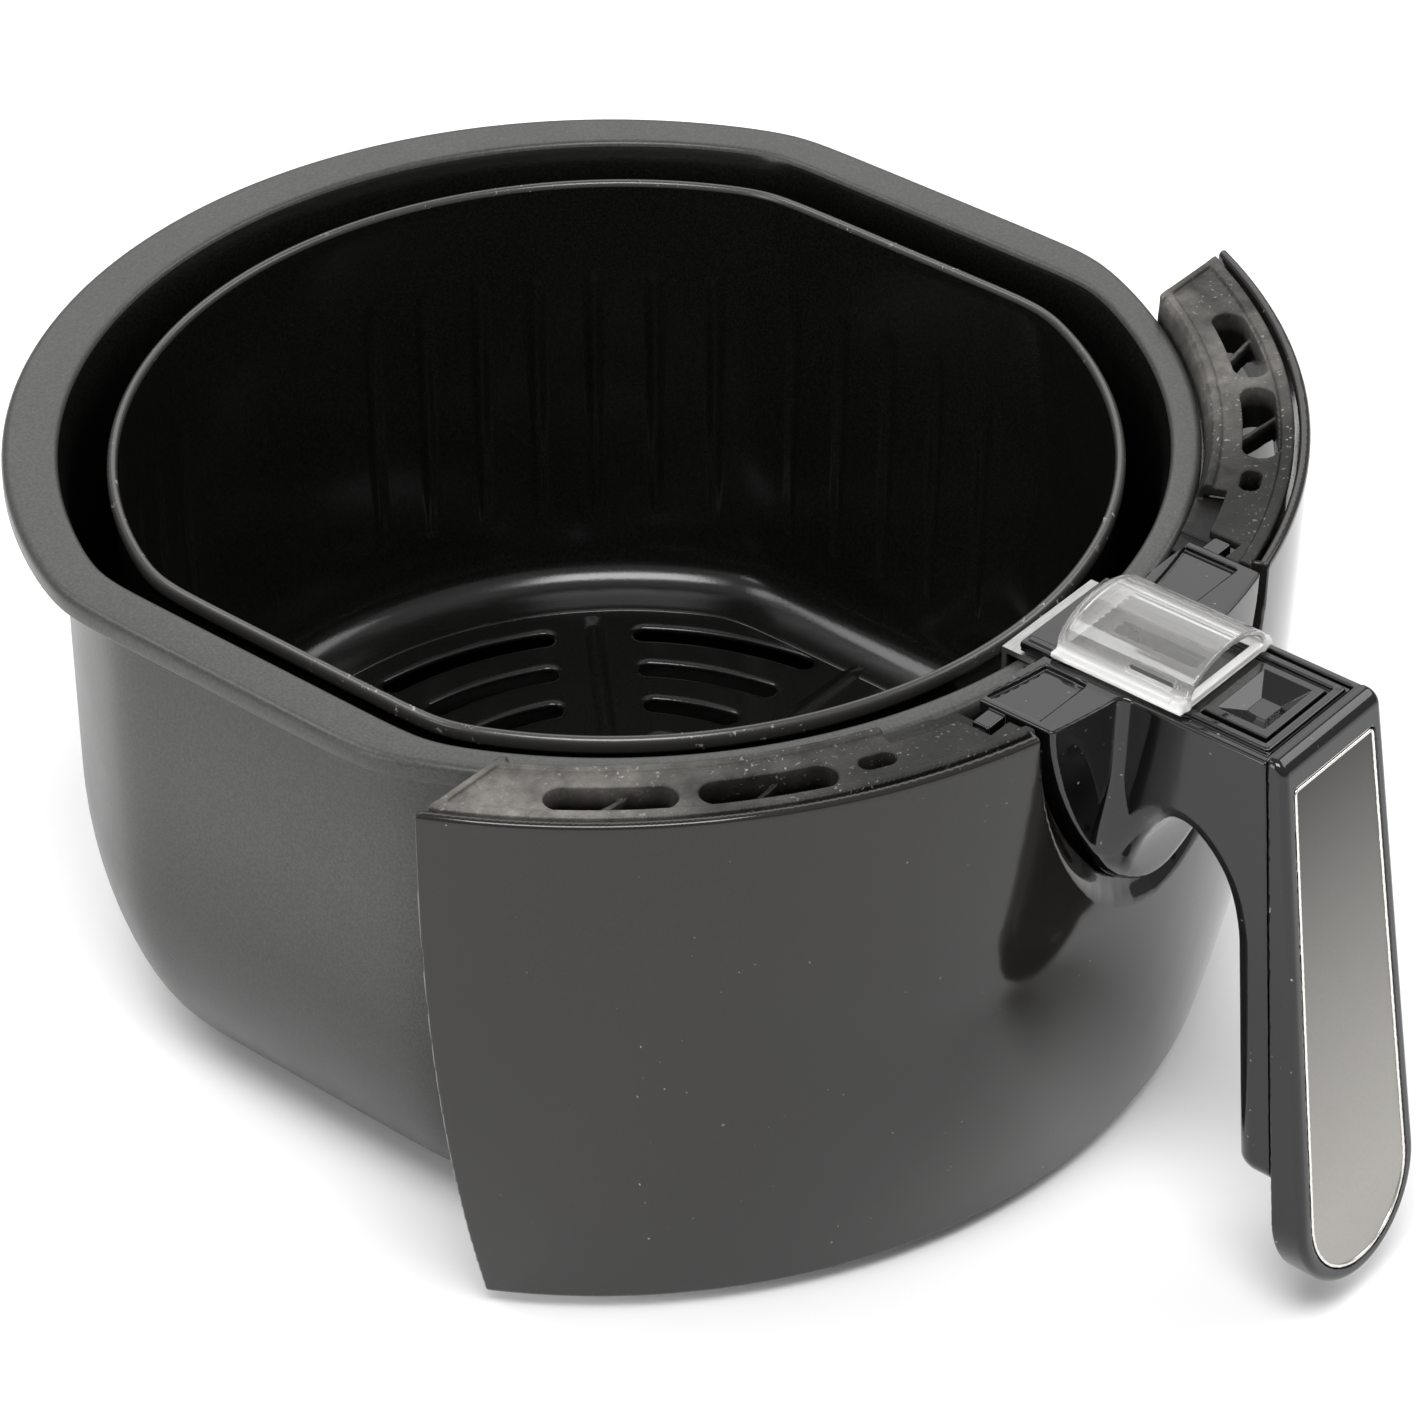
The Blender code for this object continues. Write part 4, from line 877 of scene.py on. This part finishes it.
def build_button():
    """The button's cap, with a dish of four facets round a short ridge, on a wider skirt."""
    def loop(half_x, half_y, z):
        corners = ((-half_x, -half_y), (half_x, -half_y), (half_x, half_y), (-half_x, half_y))
        return [(x, BUTTON_Y + y, z) for x, y in corners]
    levels = [loop(11.2, 8.5, -1.0), loop(11.2, 8.5, 3.1), loop(10.2, 7.5, 3.1), loop(10.2, 7.5, 5.0),
              loop(8.2, 5.6, 5.0), loop(2.8, 2.4, 2.7)]
    points = [p for level in levels for p in level]
    quads = [(4 * i + j, 4 * i + (j + 1) % 4, 4 * i + 4 + (j + 1) % 4, 4 * i + 4 + j)
             for i in range(len(levels) - 1) for j in range(4)]
    quads += [(3, 2, 1, 0), (20, 21, 22, 23)]
    made = mesh_object("release_button_cap", np.array(points), np.array(quads), GLOSS_BLACK)
    soften = made.modifiers.new("soften", "BEVEL")
    soften.width, soften.segments = 0.0003, 3
    soften.limit_method = "ANGLE"
    soften.angle_limit = math.radians(15)
    soften.harden_normals = True
    return place(made, "button", "gloss_black", "release_button")


def build_spring():
    """The coil under the lever's front end."""
    low, high = (np.array(corner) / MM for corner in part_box("return_spring"))
    wire, turns, press = 0.45, 4, 4.1
    centre, length = (low + high) / 2, high[2] - low[2]
    t = np.linspace(0, 1, 24 * turns + 1)
    a = 2 * np.pi * turns * t
    out = np.stack([np.cos(a), np.sin(a), 0 * a], 1)
    path = centre * (1, 1, 0) + ((high[0] - low[0]) / 2 - wire) * out - (0, 0, FLANGE_HEIGHT)
    path[:, 2] += low[2] + wire + t * (length - 2 * wire)
    around = -np.linspace(0, 2 * np.pi, 8, endpoint=False)[None, :, None]
    thick = np.where((t == 0) | (t == 1), 0.02, wire)[:, None, None]
    rings = path[:, None] + thick * (np.cos(around) * out[:, None] + np.sin(around) * np.array([0, 0, 1]))
    coil = place(loft("return_spring_coil", rings, STEEL, closed=False), "basket", "steel", "return_spring")
    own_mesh(coil)


def cover_arch(half, rise, side):
    """The cover's section: short upright sides and an arched top."""
    top = [(half * math.cos(a), COVER_BASE + side + (rise - side) * math.sin(a))
           for a in (math.radians(90 * i / 12) for i in range(13))]
    half_line = [(half, COVER_BASE - 3), *top]
    return half_line + [(-x, z) for x, z in half_line[-2::-1]]


def build_cover():
    """The clear arch, with a foot on each side, a bar across its front and a slit near the left foot."""
    base, back, front = COVER_BASE, COVER_BACK, COVER_FRONT
    outside = cover_arch(13.7, 9.0, 1.6)

    def field(p):
        x, y, z = p
        arch = polygon(x, z, outside)
        hull = both(both(arch, y - back, 2.6), front - y, 0.35)
        hollow = both(arch + COVER_SKIN, y - back + COVER_SKIN, 1.6)
        shell = without(hull, hollow, 0.3)
        bar = block(p, (-13.4, 13.4), (front, front + 2.0), (base, base + 1.9), 0.4)
        shell = either(shell, bar, 0.6)
        for side in (-1, 1):
            foot = block(p, sorted((side * 12.6, side * 15.8)), (front, back - 1.0), (base, base + 1.3), 0.4)
            shell = either(shell, foot, 0.7)
            lump = block(p, sorted((side * 12.4, side * 15.6)), (front, front + 3.4), (base, base + 2.6), 1.0)
            shell = either(shell, lump, 0.5)
        slit = both(both(between(y, -157.0, -146.0), between(z, 8.2, 9.6), 0.6), np.abs(arch) - 2.0)
        shell = without(shell, np.where(x < 0, slit, 1e3), 0.15)
        return both(shell, base - z, 0.2)

    made = surface("clear_slide_cover", field, (-16.6, -161.8, 4.6), (16.6, -127.7, 15.2), 0.32, CLEAR)
    return place(made, "cover", "clear", "slide_cover")


build_pan()
build_basket()
build_basket_floor()
build_panel()
build_bezel(-1, "left")
build_bezel(1, "right")
build_handle_body()
build_handle_shell()
build_inlay()
build_top_plate()
build_button()
build_spring()
build_cover()

REPLACED = {n for o in bpy.data.objects for n in o.get("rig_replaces", [])}
for name, node in frame["nodes"].items():
    if name not in REPLACED:
        node.data.materials.clear()
        node.data.materials.append(STEEL)


# ---- floor, lights and camera ---------------------------------------------------------------------
CAMERA_AZIMUTH, CAMERA_ELEVATION = -50.466, 36.309                 # degrees
CAMERA_LENS, CAMERA_SENSOR = 134.1, 36                             # millimetres
CAMERA_AWAY, CAMERA_RIGHT, CAMERA_DOWN = 1.1204, 0.02254, 0.06188  # metres
SKY_LOW, SKY_HIGH, SKY_STRENGTH = 0.62, 0.9, 0.62


def add_floor():
    """White paper just under the part."""
    mesh = bpy.data.meshes.new("studio_floor")
    half, low = 6, -0.0004
    corners = [(-half, -half, low), (half, -half, low), (half, half, low), (-half, half, low)]
    mesh.from_pydata(corners, [], [(0, 1, 2, 3)])
    paper = Finish("studio_paper", (0.93, 0.93, 0.93), 0.9)
    paper.color(paper.ramp(paper.noise(3, 2.0), 0.2, 0.8, (0.925, 0.925, 0.925), (0.935, 0.935, 0.935)))
    mesh.materials.append(paper.material)
    floor = bpy.data.objects.new("studio_floor", mesh)
    bpy.context.scene.collection.objects.link(floor)


def add_light(name, place_at, aim, size, power):
    """A rectangular lamp at a place in metres, turned towards a point, with its power in watts."""
    data = bpy.data.lights.new(name, "AREA")
    data.shape = "RECTANGLE"
    data.size, data.size_y = size
    data.energy = power
    lamp = bpy.data.objects.new(name, data)
    lamp.location = place_at
    lamp.rotation_euler = (Vector(place_at) - Vector(aim)).to_track_quat("Z", "Y").to_euler()
    bpy.context.scene.collection.objects.link(lamp)


def add_camera():
    """A long lens that looks down at the left front, aimed beside and below the flange's middle."""
    azimuth, elevation = math.radians(CAMERA_AZIMUTH), math.radians(CAMERA_ELEVATION)
    back = Vector((math.sin(azimuth) * math.cos(elevation), -math.cos(azimuth) * math.cos(elevation),
                   math.sin(elevation)))
    right = Vector((math.cos(azimuth), math.sin(azimuth), 0))
    up = back.cross(right)
    data = bpy.data.cameras.new("camera")
    data.lens, data.sensor_width = CAMERA_LENS, CAMERA_SENSOR
    camera = bpy.data.objects.new("camera", data)
    flange = Vector((0, 0, FLANGE_HEIGHT * MM))
    camera.location = flange + back * CAMERA_AWAY + right * CAMERA_RIGHT - up * CAMERA_DOWN
    camera.rotation_euler = back.to_track_quat("Z", "Y").to_euler()
    bpy.context.scene.collection.objects.link(camera)
    bpy.context.scene.camera = camera


def add_world():
    """A white sky that is brighter overhead than at the horizon."""
    world = bpy.data.worlds.new("studio")
    bpy.context.scene.world = world
    world.use_nodes = True
    nodes, links = world.node_tree.nodes, world.node_tree.links
    direction = nodes.new("ShaderNodeTexCoord").outputs["Generated"]
    split = nodes.new("ShaderNodeSeparateXYZ")
    links.new(direction, split.inputs[0])
    tone = nodes.new("ShaderNodeValToRGB")
    tone.color_ramp.elements[0].position, tone.color_ramp.elements[1].position = 0.0, 0.9
    tone.color_ramp.elements[0].color = (SKY_LOW, SKY_LOW, SKY_LOW, 1)
    tone.color_ramp.elements[1].color = (SKY_HIGH, SKY_HIGH, SKY_HIGH, 1)
    links.new(split.outputs["Z"], tone.inputs[0])
    links.new(tone.outputs["Color"], nodes["Background"].inputs["Color"])
    nodes["Background"].inputs["Strength"].default_value = SKY_STRENGTH


add_floor()
add_world()
add_camera()
add_light("key_over_camera", (-0.52, -0.42, 1.45), (0, 0, 0.1), (0.75, 0.6), 17)
add_light("fill_behind", (0.95, 0.80, 1.0), (0, 0, 0.1), (1.2, 0.9), 5)
add_light("back_overhead", (-0.32, 0.85, 1.45), (0, 0, 0.1), (1.2, 0.5), 8)
add_light("side_left", (-1.6, 0.35, 0.6), (0, 0, 0.08), (0.5, 1.1), 8)
add_light("side_right", (1.05, -0.66, 1.20), (0, 0, 0.05), (1.3, 0.6), 9)
bpy.context.scene.view_settings.view_transform = "Standard"
